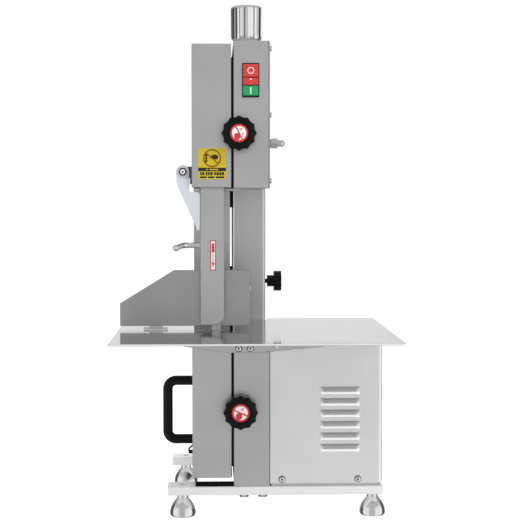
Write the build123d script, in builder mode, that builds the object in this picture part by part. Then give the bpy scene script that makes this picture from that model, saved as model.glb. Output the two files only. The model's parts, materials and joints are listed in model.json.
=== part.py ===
"""Countertop bone saw: a C-framed band saw with a sheet-metal table.

The origin is on the floor, under the middle of the overall box. +X points from the operator's side
across the table, +Y away from the controls, +Z up. All lengths are millimetres.
"""

import os

from build123d import *

os.makedirs("parts", exist_ok=True)

# ---------------------------------------------------------------- driving dimensions
half_depth = 243.0  # the box runs from the table's front edge to the hinge knuckles
sheet = 2.0  # thickness of the casing's sheet steel

# Table
bracket_bolt_x = (-25.0, -6.0)
bracket_bolt_z = 279.5
table_screw_x = 30.0
table_width = 449.0  # along X
table_depth = 440.0  # along Y
table_top = 307.0
table_sheet = 2.5
table_rim = 3.2  # height of the edge all round

# Casing: frame side (+X) and door side (-X)
near_y = -53.0  # face with the switch and the clamp knobs
rear_y = 235.0
column_y = 152.0  # front face of the column, behind the throat
door_left = -101.0
door_right = -37.0
frame_left = -33.0
frame_right = 26.0
casing_bottom = 51.5
casing_top_of_base = 300.0
head_bottom = 541.0
head_top = 782.0
door_bottom = 66.0
door_top = 777.0
door_lower_edge = 299.0  # top of the door's lower arm
door_upper_edge = 542.0  # bottom of the door's upper arm
corner_radius = 24.0

# Wheels and blade
wheel_y = 69.0
lower_wheel_z = 178.0
upper_wheel_z = 666.0
wheel_radius = 104.7
flange_radius = 106.5
blade_inner_radius = 105.0
blade_thickness = 0.5
blade_teeth_x = -70.5
blade_back_x = -54.5
blade_near_y = wheel_y - blade_inner_radius  # inner face of the cutting run
blade_outer_y = blade_near_y - blade_thickness
shaft_radius = 12.5
axle_radius = 7.45
fit = 0.05  # radial clearance of a running fit

# Base
bar_left = -141.5
bar_right = 212.5
bar_depth = 42.0
bar_bottom = 37.0
bar_top = casing_bottom
foot_x = (-117.4, 197.3)
foot_radius = 21.25
bar_y = (near_y + bar_depth / 2, half_depth - foot_radius)
base_bolt_x = (-16.0, 15.0)
base_nut = 6.6  # height of the nuts under the bars

# Motor cover
cover_right = 211.3
cover_bottom = 56.0
cover_top = 290.0
louvre_left = 110.0
louvre_right = 172.6
louvre_count = 6
louvre_z = 161.6  # middle of the louvres
louvre_pitch = 18.9
louvre_height = 10.5
louvre_depth = 4.0
cover_screw_x = (46.0, 171.0)
cover_screw_z = 63.0

# Head
knob_x = -9.2  # tension knob and screw
knob_bottom = 787.0
overall_height = 851.0
knob_radius = 27.6
switch_left = -19.0
switch_right = 8.4
switch_bottom = 688.0
switch_top = 743.0
side_screw_z = (553.0, 660.0, 767.0)
side_screw_y = (near_y + 8.0, rear_y - 8.0)
tracking_z = 618.2
tension_travel = 12.0
screw_radius = 6.0  # tension screw

# Clamp knobs: x and z of each, on the near face
upper_clamp = (-24.5, 629.2)
lower_clamp = (-22.2, 176.7)
clamp_stud_radius = 4.0
clamp_collar_y = near_y - 4.0
clamp_nut_radius = 6.0

# Blade guard
guard_left = -87.4
guard_right = -48.5
guard_bottom = 317.0
guard_top = 604.0
guard_y = -41.0  # near face
guard_sheet = 2.0
guard_handle_z = 447.5
guard_handle_radius = 4.7

# Gauge plate and its rod
gauge_y = -12.5  # near face
gauge_sheet = 3.0
gauge_left = -221.0
gauge_right = -5.0
gauge_bottom = 313.0
gauge_top = 405.6
gauge_rod_x = -14.0
gauge_rod_z = 375.2
gauge_rod_radius = 6.0
gauge_lock_y = 187.0

# Scrap tray
tray_left = -96.0
tray_right = -35.0
tray_near = 25.0
tray_far = 225.0
tray_top = 62.0
tray_wall = 1.5
chute_far = 150.0

# Door furniture
handle_y = 37.0
handle_top = 215.3
handle_bottom = 115.2
handle_reach = 43.0
handle_radius = 8.2
pivot_x = -115.8
pivot_z = 567.6
swing_y = -47.0  # near face of the swinging guard
swing_sheet = 4.0
hinge_x = -35.0
hinge_y = 239.0
hinge_radius = 4.0
hinge_z = (130.0, 700.0)


# ---------------------------------------------------------------- small shapes used everywhere
def block(x0, x1, y0, y1, z0, z1, mode=Mode.ADD):
    """A box between two corners, in the part being built."""
    with Locations(((x0 + x1) / 2, (y0 + y1) / 2, (z0 + z1) / 2)):
        Box(x1 - x0, y1 - y0, z1 - z0, mode=mode)


def rod_x(x0, x1, y, z, radius, mode=Mode.ADD):
    """A round bar along X."""
    with Locations(((x0 + x1) / 2, y, z)):
        Cylinder(radius, x1 - x0, rotation=(0, 90, 0), mode=mode)


def rod_y(y0, y1, x, z, radius, mode=Mode.ADD):
    """A round bar along Y."""
    with Locations((x, (y0 + y1) / 2, z)):
        Cylinder(radius, y1 - y0, rotation=(90, 0, 0), mode=mode)


def rod_z(z0, z1, x, y, radius, mode=Mode.ADD):
    """A round bar along Z."""
    with Locations((x, y, (z0 + z1) / 2)):
        Cylinder(radius, z1 - z0, mode=mode)


def xz_plane(y):
    """An XZ plane at this y, whose extrusions run towards +Y when negative."""
    return Plane.XZ.offset(-y)


def casing_outline(inset, z0, z1, radius, bottom_radius=0.0):
    """The casing's side view in the current sketch: a rectangle with rounded corners."""
    with Locations(((near_y + rear_y) / 2, (z0 + z1) / 2)):
        face = Rectangle(rear_y - near_y - 2 * inset, z1 - z0)
    corners = face.vertices().group_by(Axis.Y)
    fillet(corners[-1], radius)
    if bottom_radius > 0:
        fillet(corners[0], bottom_radius)


# ---------------------------------------------------------------- base
with BuildPart() as base_bars:
    for y in bar_y:
        block(bar_left, bar_right, y - bar_depth / 2, y + bar_depth / 2, bar_bottom, bar_top)
    chamfer(base_bars.edges().filter_by(Axis.X), 1.0)
    for y in bar_y:
        for x in foot_x:
            rod_z(bar_bottom, bar_top, x, y, 5.0, mode=Mode.SUBTRACT)
        for x in base_bolt_x:
            rod_z(bar_bottom, bar_top, x, y, 4.0 + fit, mode=Mode.SUBTRACT)
base_bars.part.label = "base_bars"
export_step(base_bars.part, "parts/base_bars.step")

with BuildPart(mode=Mode.PRIVATE) as foot:
    with BuildSketch(Plane.XZ):
        with BuildLine():
            Polyline((0, 0), (foot_radius - 1.3, 0), (foot_radius, 2.0), (foot_radius, 9.0))
            Spline((foot_radius, 9.0), (17.0, 20.0), (10.5, 28.0), (9.0, 34.0), tangents=((0, 1), (0, 1)))
            Polyline((9.0, 34.0), (9.0, bar_bottom), (5.0, bar_bottom), (5.0, bar_top), (0, bar_top), (0, 0))
        make_face()
    revolve(axis=Axis.Z)

with BuildPart() as feet:
    with Locations(*[(x, y, 0) for x in foot_x for y in bar_y]):
        add(foot.part)
feet.part.label = "feet"
export_step(feet.part, "parts/feet.step")

with BuildPart() as base_bolts:
    for y in bar_y:
        for x in base_bolt_x:
            with BuildSketch(Plane.XY.offset(bar_bottom - base_nut)):
                with Locations((x, y)):
                    RegularPolygon(7.5, 6)
            extrude(amount=base_nut)
            rod_z(bar_bottom, bar_top + 7.0, x, y, 4.0)
base_bolts.part.label = "base_bolts"
export_step(base_bolts.part, "parts/base_bolts.step")

# ---------------------------------------------------------------- lower housing
with BuildPart() as lower_housing:
    block(frame_left, frame_right, near_y, rear_y, casing_bottom, casing_top_of_base)
    fillet(lower_housing.edges().filter_by(Axis.X), 3.0)
    block(
        frame_left + sheet,
        frame_right,
        near_y + sheet,
        rear_y - sheet,
        casing_bottom + sheet,
        casing_top_of_base - sheet,
        mode=Mode.SUBTRACT,
    )
    # Way up into the column
    block(
        frame_left + 6,
        frame_right - 6,
        column_y + 6,
        rear_y - 6,
        casing_top_of_base - 3,
        casing_top_of_base + 1,
        mode=Mode.SUBTRACT,
    )
    # Motor shaft, base bolts, clamp stud, bracket bolts and cable gland
    rod_x(frame_left - 1, frame_left + 3, wheel_y, lower_wheel_z, 15.0, mode=Mode.SUBTRACT)
    for y in bar_y:
        for x in base_bolt_x:
            rod_z(casing_bottom - 1, casing_bottom + 3, x, y, 4.0 + fit, mode=Mode.SUBTRACT)
    rod_y(near_y - 1, near_y + 3, lower_clamp[0], lower_clamp[1], clamp_stud_radius, mode=Mode.SUBTRACT)
    for x in bracket_bolt_x:
        rod_y(near_y - 1, near_y + 3, x, bracket_bolt_z, 2.5 + fit, mode=Mode.SUBTRACT)
    rod_y(rear_y - 3, rear_y + 1, 0, 90, 6.0, mode=Mode.SUBTRACT)
lower_housing.part.label = "lower_housing"
export_step(lower_housing.part, "parts/lower_housing.step")

# ---------------------------------------------------------------- column
column_wall = 3.0
with BuildPart() as column:
    block(frame_left, frame_right, column_y, rear_y, casing_top_of_base, head_bottom)
    fillet(column.edges().filter_by(Axis.Z), 5.0)
    block(
        frame_left + column_wall,
        frame_right - column_wall,
        column_y + column_wall,
        rear_y - column_wall,
        casing_top_of_base,
        head_bottom,
        mode=Mode.SUBTRACT,
    )
    rod_y(column_y - 1, rear_y + 1, gauge_rod_x, gauge_rod_z, 11.0, mode=Mode.SUBTRACT)
    rod_x(frame_right - 4, frame_right + 1, gauge_lock_y, gauge_rod_z, 4.0 + fit, mode=Mode.SUBTRACT)
column.part.label = "column"
export_step(column.part, "parts/column.step")

with BuildPart() as rod_bushes:
    rod_y(column_y - 3, column_y, gauge_rod_x, gauge_rod_z, 15.0)
    rod_y(column_y, column_y + 12, gauge_rod_x, gauge_rod_z, 11.0)
    rod_y(rear_y - 22, rear_y, gauge_rod_x, gauge_rod_z, 11.0)
    rod_y(rear_y, rear_y + 2, gauge_rod_x, gauge_rod_z, 15.0)
    rod_y(column_y - 4, rear_y + 3, gauge_rod_x, gauge_rod_z, gauge_rod_radius + fit, mode=Mode.SUBTRACT)
rod_bushes.part.label = "rod_bushes"
export_step(rod_bushes.part, "parts/rod_bushes.step")

# ---------------------------------------------------------------- upper housing
rail_gap = 0.3
block_half_width = 22.0
rail_width = 10.0
side_cover_x = frame_right - sheet
with BuildPart() as upper_housing:
    with BuildSketch(Plane.YZ.offset(frame_left)):
        casing_outline(0, head_bottom, head_top, corner_radius)
    extrude(amount=side_cover_x - frame_left)
    with BuildSketch(Plane.YZ.offset(frame_left + sheet)):
        casing_outline(sheet, head_bottom + sheet, head_top - sheet, corner_radius - sheet)
    extrude(amount=side_cover_x - sheet - frame_left - sheet, mode=Mode.SUBTRACT)
    # The flange that takes the side cover's screws is left standing round the open side
    with BuildSketch(Plane.YZ.offset(side_cover_x - sheet)):
        casing_outline(sheet + 11, head_bottom + sheet + 14, head_top - sheet - 11, 11.0)
    extrude(amount=sheet, mode=Mode.SUBTRACT)
    # Way down into the column
    block(
        frame_left + 6,
        frame_right - 8,
        column_y + 6,
        rear_y - 6,
        head_bottom - 1,
        head_bottom + 3,
        mode=Mode.SUBTRACT,
    )
    # Rails for the wheel slide
    rail_right = -2.0
    rail_bottom = 590.0
    rail_top = 750.0
    for side in (-1, 1):
        inner = wheel_y + side * (block_half_width + rail_gap)
        outer = inner + side * rail_width
        block(frame_left + sheet, rail_right, min(inner, outer), max(inner, outer), rail_bottom, rail_top)
    # Boss round the tension screw
    rod_z(head_top - sheet - 3, knob_bottom - 0.5, knob_x, wheel_y, screw_radius + 7)
    rod_z(head_top - 8, knob_bottom + 1, knob_x, wheel_y, screw_radius + fit, mode=Mode.SUBTRACT)
    # Slot for the upper axle
    block(
        frame_left - 1,
        frame_left + sheet + 0.5,
        wheel_y - 12,
        wheel_y + 12,
        upper_wheel_z - tension_travel - 13,
        upper_wheel_z + 13,
        mode=Mode.SUBTRACT,
    )
    # Switch, clamp stud and side cover screws
    block(
        switch_left + 2,
        switch_right - 2,
        near_y - 1,
        near_y + 3,
        switch_bottom + 2,
        switch_top - 2,
        mode=Mode.SUBTRACT,
    )
    rod_y(near_y - 1, near_y + 3, upper_clamp[0], upper_clamp[1], clamp_stud_radius, mode=Mode.SUBTRACT)
    for y in side_screw_y:
        for z in side_screw_z:
            rod_x(side_cover_x - 3, side_cover_x + 1, y, z, 2.0 + fit, mode=Mode.SUBTRACT)
upper_housing.part.label = "upper_housing"
export_step(upper_housing.part, "parts/upper_housing.step")

with BuildPart() as head_side_cover:
    with BuildSketch(Plane.YZ.offset(side_cover_x)):
        casing_outline(0, head_bottom, head_top, corner_radius)
    extrude(amount=sheet)
    rod_x(frame_right, frame_right + 6, wheel_y, tracking_z, 7.0)
    rod_x(side_cover_x - 1, frame_right + 7, wheel_y, tracking_z, 5.0 + fit, mode=Mode.SUBTRACT)
    for y in side_screw_y:
        for z in side_screw_z:
            rod_x(side_cover_x - 1, frame_right + 1, y, z, 2.0 + fit, mode=Mode.SUBTRACT)
head_side_cover.part.label = "head_side_cover"
export_step(head_side_cover.part, "parts/head_side_cover.step")

floor_bottom = 536.5
floor_left = -97.0
floor_right = -20.0
with BuildPart() as head_floor_plate:
    block(floor_left, floor_right, guard_y - 2.5, column_y - 0.5, floor_bottom, head_bottom)
    fillet(head_floor_plate.edges().filter_by(Axis.Z), 2.0)
    # Opening for the guard plate, the blade and the guide
    block(
        guard_left - 0.8,
        floor_right + 1,
        guard_y - 4,
        -24,
        floor_bottom - 1,
        head_bottom + 1,
        mode=Mode.SUBTRACT,
    )
head_floor_plate.part.label = "head_floor_plate"
export_step(head_floor_plate.part, "parts/head_floor_plate.step")

# ---------------------------------------------------------------- gaskets between frame and door
gasket_left = door_right + 0.3
strip = 8.0
gasket_rear = rear_y - 4.0
head_gasket_top = door_top - corner_radius
column_gasket_bottom = 508.0
base_gasket_bottom = 85.0
base_gasket_top = 272.0
base_gasket_rear_top = 400.0
skirt_top = 58.3
with BuildPart() as door_gaskets:
    # Head
    block(gasket_left, frame_left, near_y, near_y + strip, door_upper_edge, head_gasket_top)
    block(gasket_left, frame_left, near_y, gasket_rear, head_gasket_top - strip, head_gasket_top)
    block(gasket_left, frame_left, gasket_rear - strip, gasket_rear, column_gasket_bottom, head_gasket_top)
    block(gasket_left, frame_left, near_y, gasket_rear, door_upper_edge, door_upper_edge + strip)
    block(gasket_left, frame_left, column_y, column_y + strip, column_gasket_bottom, door_upper_edge + strip)
    # Lower housing
    block(gasket_left, frame_left, near_y, near_y + strip, base_gasket_bottom, base_gasket_top)
    block(gasket_left, frame_left, near_y, gasket_rear, base_gasket_bottom, base_gasket_bottom + strip)
    block(gasket_left, frame_left, gasket_rear - strip, gasket_rear, base_gasket_bottom, base_gasket_rear_top)
    # Skirt on the near bar, under the door
    block(-96.0, frame_left, near_y + sheet, near_y + sheet + strip, bar_top, skirt_top)
door_gaskets.part.label = "door_gaskets"
export_step(door_gaskets.part, "parts/door_gaskets.step")

# ---------------------------------------------------------------- hinges
knuckle_half = 9.7
leaf_half = 30.0
leaf_rear = rear_y + 2.0
leaf_edge = hinge_radius + 0.6
frame_leaf_right = -8.0
door_leaf_left = -62.0
with BuildPart() as hinge_frame_leaves:
    for z in hinge_z:
        rod_z(z - knuckle_half, z + knuckle_half, hinge_x, hinge_y, hinge_radius)
        block(hinge_x, frame_leaf_right, rear_y, leaf_rear, z - knuckle_half, z + knuckle_half)
        block(hinge_x + leaf_edge, frame_leaf_right, rear_y, leaf_rear, z - leaf_half, z + leaf_half)
        rod_z(z - knuckle_half, z + knuckle_half, hinge_x, hinge_y, 1.8, mode=Mode.SUBTRACT)
hinge_frame_leaves.part.label = "hinge_frame_leaves"
export_step(hinge_frame_leaves.part, "parts/hinge_frame_leaves.step")

with BuildPart() as hinge_door_leaves:
    for z in hinge_z:
        for side in (-1, 1):
            low = min(side * 10.0, side * leaf_half)
            high = max(side * 10.0, side * leaf_half)
            rod_z(z + low, z + high, hinge_x, hinge_y, hinge_radius)
            block(door_leaf_left, hinge_x, rear_y, leaf_rear, z + low, z + high)
        block(door_leaf_left, hinge_x - leaf_edge, rear_y, leaf_rear, z - leaf_half, z + leaf_half)
        rod_z(z - 31, z + 31, hinge_x, hinge_y, 1.8 + fit, mode=Mode.SUBTRACT)
hinge_door_leaves.part.label = "hinge_door_leaves"
export_step(hinge_door_leaves.part, "parts/hinge_door_leaves.step")

with BuildPart() as hinge_pins:
    for z in hinge_z:
        rod_z(z - leaf_half - 1, z + leaf_half + 1, hinge_x, hinge_y, 1.8)
        rod_z(z + leaf_half + 0.5, z + leaf_half + 2.5, hinge_x, hinge_y, 3.0)
hinge_pins.part.label = "hinge_pins"
export_step(hinge_pins.part, "parts/hinge_pins.step")

# ---------------------------------------------------------------- door
with BuildPart() as door:
    with BuildSketch(Plane.YZ.offset(door_left)):
        casing_outline(0, door_bottom, door_top, corner_radius, corner_radius)
        throat_height = door_upper_edge - door_lower_edge
        with Locations(((near_y + column_y) / 2 - 5, (door_upper_edge + door_lower_edge) / 2)):
            Rectangle(column_y - near_y + 10, throat_height, mode=Mode.SUBTRACT)
    extrude(amount=door_right - door_left)
    with BuildSketch(Plane.YZ.offset(door_left + sheet)):
        inner_radius = corner_radius - sheet
        casing_outline(sheet, door_bottom + sheet, door_top - sheet, inner_radius, inner_radius)
        with Locations(((near_y + column_y + sheet) / 2 - 5, (door_upper_edge + door_lower_edge) / 2)):
            Rectangle(column_y + sheet - near_y + 10, throat_height - 2, mode=Mode.SUBTRACT)
    extrude(amount=door_right - door_left - sheet, mode=Mode.SUBTRACT)
    # Chute over the scrap tray
    block(
        tray_left + 6,
        tray_right - 10,
        tray_near + 5,
        chute_far,
        door_bottom - 1,
        door_bottom + 3,
        mode=Mode.SUBTRACT,
    )
door.part.label = "door"
export_step(door.part, "parts/door.step")

lug_reach = 22.5
lug_half = 11.0
lug_slot = clamp_stud_radius + 0.5
with BuildPart() as door_lugs:
    for x, z in (upper_clamp, lower_clamp):
        block(x - lug_reach, door_right + 0.5, near_y - 2.5, near_y, z - lug_half, z + lug_half)
        block(door_right, x + lug_half, near_y - 2.5, near_y - 0.4, z - lug_half, z + lug_half)
        block(
            x - lug_slot,
            x + lug_half + 1,
            near_y - 3,
            near_y + 1,
            z - lug_slot,
            z + lug_slot,
            mode=Mode.SUBTRACT,
        )
    upright_groups = door_lugs.edges().filter_by(Axis.Y).group_by(Axis.X)
    fillet(upright_groups[0] + upright_groups[1], 4.0)
door_lugs.part.label = "door_lugs"
export_step(door_lugs.part, "parts/door_lugs.step")

with BuildPart() as door_handle:
    left = door_left - handle_reach
    with BuildLine() as grip:
        FilletPolyline(
            (door_left, handle_y, handle_top),
            (left, handle_y, handle_top),
            (left, handle_y, handle_bottom),
            (door_left, handle_y, handle_bottom),
            radius=14,
        )
    with BuildSketch(Plane(origin=grip.line @ 0, z_dir=grip.line % 0)):
        Circle(handle_radius)
    sweep()
door_handle.part.label = "door_handle"
export_step(door_handle.part, "parts/door_handle.step")

with BuildPart() as door_hook:
    with BuildLine() as hook_line:
        FilletPolyline(
            (door_left, handle_y, 105.5),
            (door_left - 7.5, handle_y, 98.0),
            (door_left - 7.0, handle_y, 93.0),
            (door_left, handle_y, 93.0),
            radius=1.6,
        )
    with BuildSketch(Plane(origin=hook_line.line @ 0, z_dir=hook_line.line % 0)):
        Circle(1.5)
    sweep()
    rod_x(door_left - 8, door_left, handle_y, 93.0, 3.2)
    block(door_left, door_left + 4, handle_y - 8, handle_y + 8, 85, 110, mode=Mode.SUBTRACT)
door_hook.part.label = "door_hook"
export_step(door_hook.part, "parts/door_hook.step")

# ---------------------------------------------------------------- swinging guard beside the head
ear_y = swing_y + swing_sheet + 0.5
with BuildPart() as swing_guard_bracket:
    block(door_left - 3, door_left, ear_y - 10, ear_y + 14, 547.5, 576)
    block(pivot_x - 9, door_left - 3, ear_y, ear_y + 3, 557, 576)
    fillet(swing_guard_bracket.edges().filter_by(Axis.Y).group_by(Axis.X)[0], 6.0)
    rod_y(ear_y - 1, ear_y + 4, pivot_x, pivot_z, 3.0, mode=Mode.SUBTRACT)
swing_guard_bracket.part.label = "swing_guard_bracket"
export_step(swing_guard_bracket.part, "parts/swing_guard_bracket.step")

with BuildPart() as swing_guard_bolt:
    with BuildSketch(xz_plane(swing_y - 0.3)):
        with Locations((pivot_x, pivot_z)):
            RegularPolygon(6.5, 6)
    extrude(amount=4.0)
    rod_y(swing_y - 0.3, ear_y + 5, pivot_x, pivot_z, 3.0)
swing_guard_bolt.part.label = "swing_guard_bolt"
export_step(swing_guard_bolt.part, "parts/swing_guard_bolt.step")

with BuildPart() as swing_guard:
    with BuildSketch(xz_plane(swing_y)):
        with BuildLine():
            Polyline((-126.5, pivot_z), (-125.8, 548.6), (-97.8, 486.6), (-93.9, 476.4))
            ThreePointArc((-93.9, 476.4), (-91.5, 472.0), (-88.2, 475.2))
            Line((-88.2, 475.2), (-88.2, 530.0))
            ThreePointArc((-88.2, 530.0), (-89.6, 533.4), (-93.0, 534.8))
            Polyline((-93.0, 534.8), (-105.1, 534.8), (-105.1, pivot_z))
            ThreePointArc((-105.1, pivot_z), (pivot_x, pivot_z + 10.7), (-126.5, pivot_z))
        make_face()
        with Locations((pivot_x, pivot_z)):
            Circle(3.0 + fit, mode=Mode.SUBTRACT)
    extrude(amount=-swing_sheet)
swing_guard.part.label = "swing_guard"
export_step(swing_guard.part, "parts/swing_guard.step")

# ---------------------------------------------------------------- clamp knobs
def star_knob(radius, lobes, depth, hub_radius, hub_length, bore):
    """A scalloped knob along +Z from its hub, as a private part, with a blind bore in the hub."""
    with BuildPart(mode=Mode.PRIVATE) as knob:
        with BuildSketch(Plane.XY.offset(hub_length)):
            Circle(radius)
            with PolarLocations(radius * 1.225, lobes):
                Circle(radius * 0.31, mode=Mode.SUBTRACT)
        extrude(amount=depth)
        fillet(knob.edges().group_by(Axis.Z)[-1], 1.2)
        with BuildSketch(Plane.XY.offset(hub_length + depth)):
            Circle(radius * 0.53)
        extrude(amount=-1.2, mode=Mode.SUBTRACT)
        with BuildSketch(Plane.XY):
            Circle(hub_radius)
        extrude(amount=hub_length)
        if bore > 0:
            with BuildSketch(Plane.XY):
                Circle(bore)
            extrude(amount=hub_length + depth * 0.6, mode=Mode.SUBTRACT)
    return knob.part


clamp_head = star_knob(29.0, 12, 17.0, 10.0, 5.0, clamp_stud_radius + fit)

with BuildPart() as upper_clamp_knob:
    with Locations(Location((upper_clamp[0], clamp_collar_y, upper_clamp[1]), (90, 0, 0))):
        add(clamp_head)
upper_clamp_knob.part.label = "upper_clamp_knob"
export_step(upper_clamp_knob.part, "parts/upper_clamp_knob.step")

with BuildPart() as lower_clamp_knob:
    with Locations(Location((lower_clamp[0], clamp_collar_y, lower_clamp[1]), (90, 0, 0))):
        add(clamp_head)
lower_clamp_knob.part.label = "lower_clamp_knob"
export_step(lower_clamp_knob.part, "parts/lower_clamp_knob.step")

with BuildPart() as clamp_studs:
    for x, z in (upper_clamp, lower_clamp):
        rod_y(near_y - 18, near_y + sheet + 4, x, z, clamp_stud_radius)
        rod_y(near_y + sheet, near_y + sheet + 4, x, z, clamp_nut_radius)
clamp_studs.part.label = "clamp_studs"
export_step(clamp_studs.part, "parts/clamp_studs.step")

# ---------------------------------------------------------------- table and its supports
table_front = -half_depth
table_rear = table_front + table_depth
table_screw_y = table_front + 14
notch_x = frame_right + 4
notch_y = column_y - 3


def table_outline(inset):
    """The table's outline in the current sketch, with the corner cut out for the column."""
    half = table_width / 2 - inset
    face = Polygon(
        (-half, table_front + inset),
        (half, table_front + inset),
        (half, table_rear - inset),
        (notch_x + inset, table_rear - inset),
        (notch_x + inset, notch_y - inset),
        (-half, notch_y - inset),
        align=None,
    )
    fillet(face.vertices(), 9.0 - inset)


with BuildPart() as table:
    with BuildSketch(Plane.XY.offset(table_top - table_rim)):
        table_outline(0)
    extrude(amount=table_rim)
    with BuildSketch(Plane.XY.offset(table_top - table_rim)):
        table_outline(table_sheet)
    extrude(amount=table_rim - table_sheet, mode=Mode.SUBTRACT)
    fillet(table.faces().sort_by(Axis.Z)[-1].outer_wire().edges(), 1.8)
    slot_y = (blade_near_y + blade_outer_y) / 2
    block(-table_width / 2 - 1, -50, slot_y - 2.2, slot_y + 2.2, 300, 310, mode=Mode.SUBTRACT)
    rod_z(300, 310, table_screw_x, table_screw_y, 2.5 + fit, mode=Mode.SUBTRACT)
table.part.label = "table"
export_step(table.part, "parts/table.step")

table_under = table_top - table_sheet
bracket_y = near_y - 5.0
spacer_right = 25.0
spacer_bottom = 273.0
spacer_top = 298.0
with BuildPart() as table_front_bracket:
    with BuildSketch(xz_plane(bracket_y)):
        with BuildLine():
            Polyline(
                (-180, table_under),
                (-114, 283),
                (-44, 272.6),
                (6, 272.6),
                (111, 282),
                (180, table_under),
                close=True,
            )
        make_face()
    extrude(amount=-4.0)
    # Spacer to the lower housing
    block(frame_left + 1, spacer_right, near_y - 1, near_y, spacer_bottom, spacer_top)
    for x in bracket_bolt_x:
        rod_y(bracket_y - 1, near_y + 1, x, bracket_bolt_z, 2.5 + fit, mode=Mode.SUBTRACT)
table_front_bracket.part.label = "table_front_bracket"
export_step(table_front_bracket.part, "parts/table_front_bracket.step")

rear_bar_left = -120.0
rear_bar_right = 150.0
rear_bar_y = (110.0, 145.0)
with BuildPart() as table_rear_bar:
    block(rear_bar_left, rear_bar_right, rear_bar_y[0], rear_bar_y[1], casing_top_of_base, table_under)
table_rear_bar.part.label = "table_rear_bar"
export_step(table_rear_bar.part, "parts/table_rear_bar.step")

with BuildPart() as table_bolts:
    for x in bracket_bolt_x:
        with BuildSketch(xz_plane(bracket_y)):
            with Locations((x, bracket_bolt_z)):
                RegularPolygon(4.6, 6)
        extrude(amount=3.2)
        rod_y(bracket_y, near_y + 6, x, bracket_bolt_z, 2.5)
    rod_z(table_top, table_top + 2.4, table_screw_x, table_screw_y, 5.0)
    rod_z(table_under - 6, table_top, table_screw_x, table_screw_y, 2.5)
table_bolts.part.label = "table_bolts"
export_step(table_bolts.part, "parts/table_bolts.step")

# ---------------------------------------------------------------- motor cover and base plate
with BuildPart() as motor_cover:
    block(frame_right, cover_right, near_y, rear_y, cover_bottom, cover_top)
    fillet(motor_cover.faces().sort_by(Axis.X)[-1].edges(), 6.0)
    block(
        frame_right,
        cover_right - sheet,
        near_y + sheet,
        rear_y - sheet,
        cover_bottom - 10,
        cover_top - sheet,
        mode=Mode.SUBTRACT,
    )
    # Raised louvres, each open along its lower edge
    louvre_middle = (louvre_left + louvre_right) / 2
    louvre_length = louvre_right - louvre_left
    with Locations(xz_plane(near_y)):
        with Locations((louvre_middle, louvre_z, 0)):
            with GridLocations(1, louvre_pitch, 1, louvre_count):
                Box(louvre_length, louvre_height, 2 * louvre_depth)
    raised = motor_cover.faces().filter_by(Axis.Y).sort_by(Axis.Y)[:louvre_count]
    fillet(raised.edges().filter_by(Axis.Z), 3.4)
    raised = motor_cover.faces().filter_by(Axis.Y).sort_by(Axis.Y)[:louvre_count]
    fillet(raised.edges().filter_by(Axis.X).group_by(Axis.Z)[1::2], 3.4)
    with Locations(xz_plane(near_y)):
        with Locations((louvre_middle, louvre_z - 2.2, 0)):
            with GridLocations(1, louvre_pitch, 1, louvre_count):
                Box(louvre_length - 9, louvre_height - 3.4, 2 * louvre_depth - 3.0, mode=Mode.SUBTRACT)
    for x in cover_screw_x:
        rod_y(near_y - 1, near_y + 3, x, cover_screw_z, 2.0 + fit, mode=Mode.SUBTRACT)
        rod_y(rear_y - 3, rear_y + 1, x, cover_screw_z, 2.0 + fit, mode=Mode.SUBTRACT)
motor_cover.part.label = "motor_cover"
export_step(motor_cover.part, "parts/motor_cover.step")

with BuildPart() as motor_base_plate:
    plate_right = cover_right - 4
    block(28, plate_right, near_y + sheet, rear_y - sheet, bar_top, bar_top + 3)
    block(28, plate_right, near_y + sheet, near_y + 2 * sheet, bar_top, 75)
    block(28, plate_right, rear_y - 2 * sheet, rear_y - sheet, bar_top, 75)
    for x in cover_screw_x:
        rod_y(near_y, rear_y, x, cover_screw_z, 2.0 + fit, mode=Mode.SUBTRACT)
motor_base_plate.part.label = "motor_base_plate"
export_step(motor_base_plate.part, "parts/motor_base_plate.step")

with BuildPart() as cover_screws:
    for y in side_screw_y:
        for z in side_screw_z:
            rod_x(frame_right, frame_right + 2.8, y, z, 4.5)
            rod_x(side_cover_x - 6, frame_right, y, z, 2.0)
    for x in cover_screw_x:
        rod_y(near_y - 2.8, near_y, x, cover_screw_z, 4.5)
        rod_y(near_y, near_y + 8, x, cover_screw_z, 2.0)
        rod_y(rear_y, rear_y + 2.8, x, cover_screw_z, 4.5)
        rod_y(rear_y - 8, rear_y, x, cover_screw_z, 2.0)
cover_screws.part.label = "cover_screws"
export_step(cover_screws.part, "parts/cover_screws.step")

# ---------------------------------------------------------------- motor
motor_radius = 72.0
rotor_radius = 45.0
stator_left = 12.0
stator_right = 138.0
motor_right = 175.0
bearing_radius = 26.0
bearing_spans = ((-25.0, -10.0), (150.0, 165.0))
motor_left = frame_left + sheet

with BuildPart() as motor_stator:
    rod_x(stator_left, stator_right, wheel_y, lower_wheel_z, motor_radius)
    rod_x(stator_left, stator_right, wheel_y, lower_wheel_z, rotor_radius + 0.6, mode=Mode.SUBTRACT)
motor_stator.part.label = "motor_stator"
export_step(motor_stator.part, "parts/motor_stator.step")

with BuildPart() as motor_end_bells:
    rod_x(motor_left, stator_left, wheel_y, lower_wheel_z, motor_radius)
    rod_x(stator_right, motor_right, wheel_y, lower_wheel_z, motor_radius)
    rod_x(motor_left - 1, motor_right + 1, wheel_y, lower_wheel_z, 14.0, mode=Mode.SUBTRACT)
    for x0, x1 in bearing_spans:
        rod_x(x0, x1, wheel_y, lower_wheel_z, bearing_radius, mode=Mode.SUBTRACT)
motor_end_bells.part.label = "motor_end_bells"
export_step(motor_end_bells.part, "parts/motor_end_bells.step")

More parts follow.
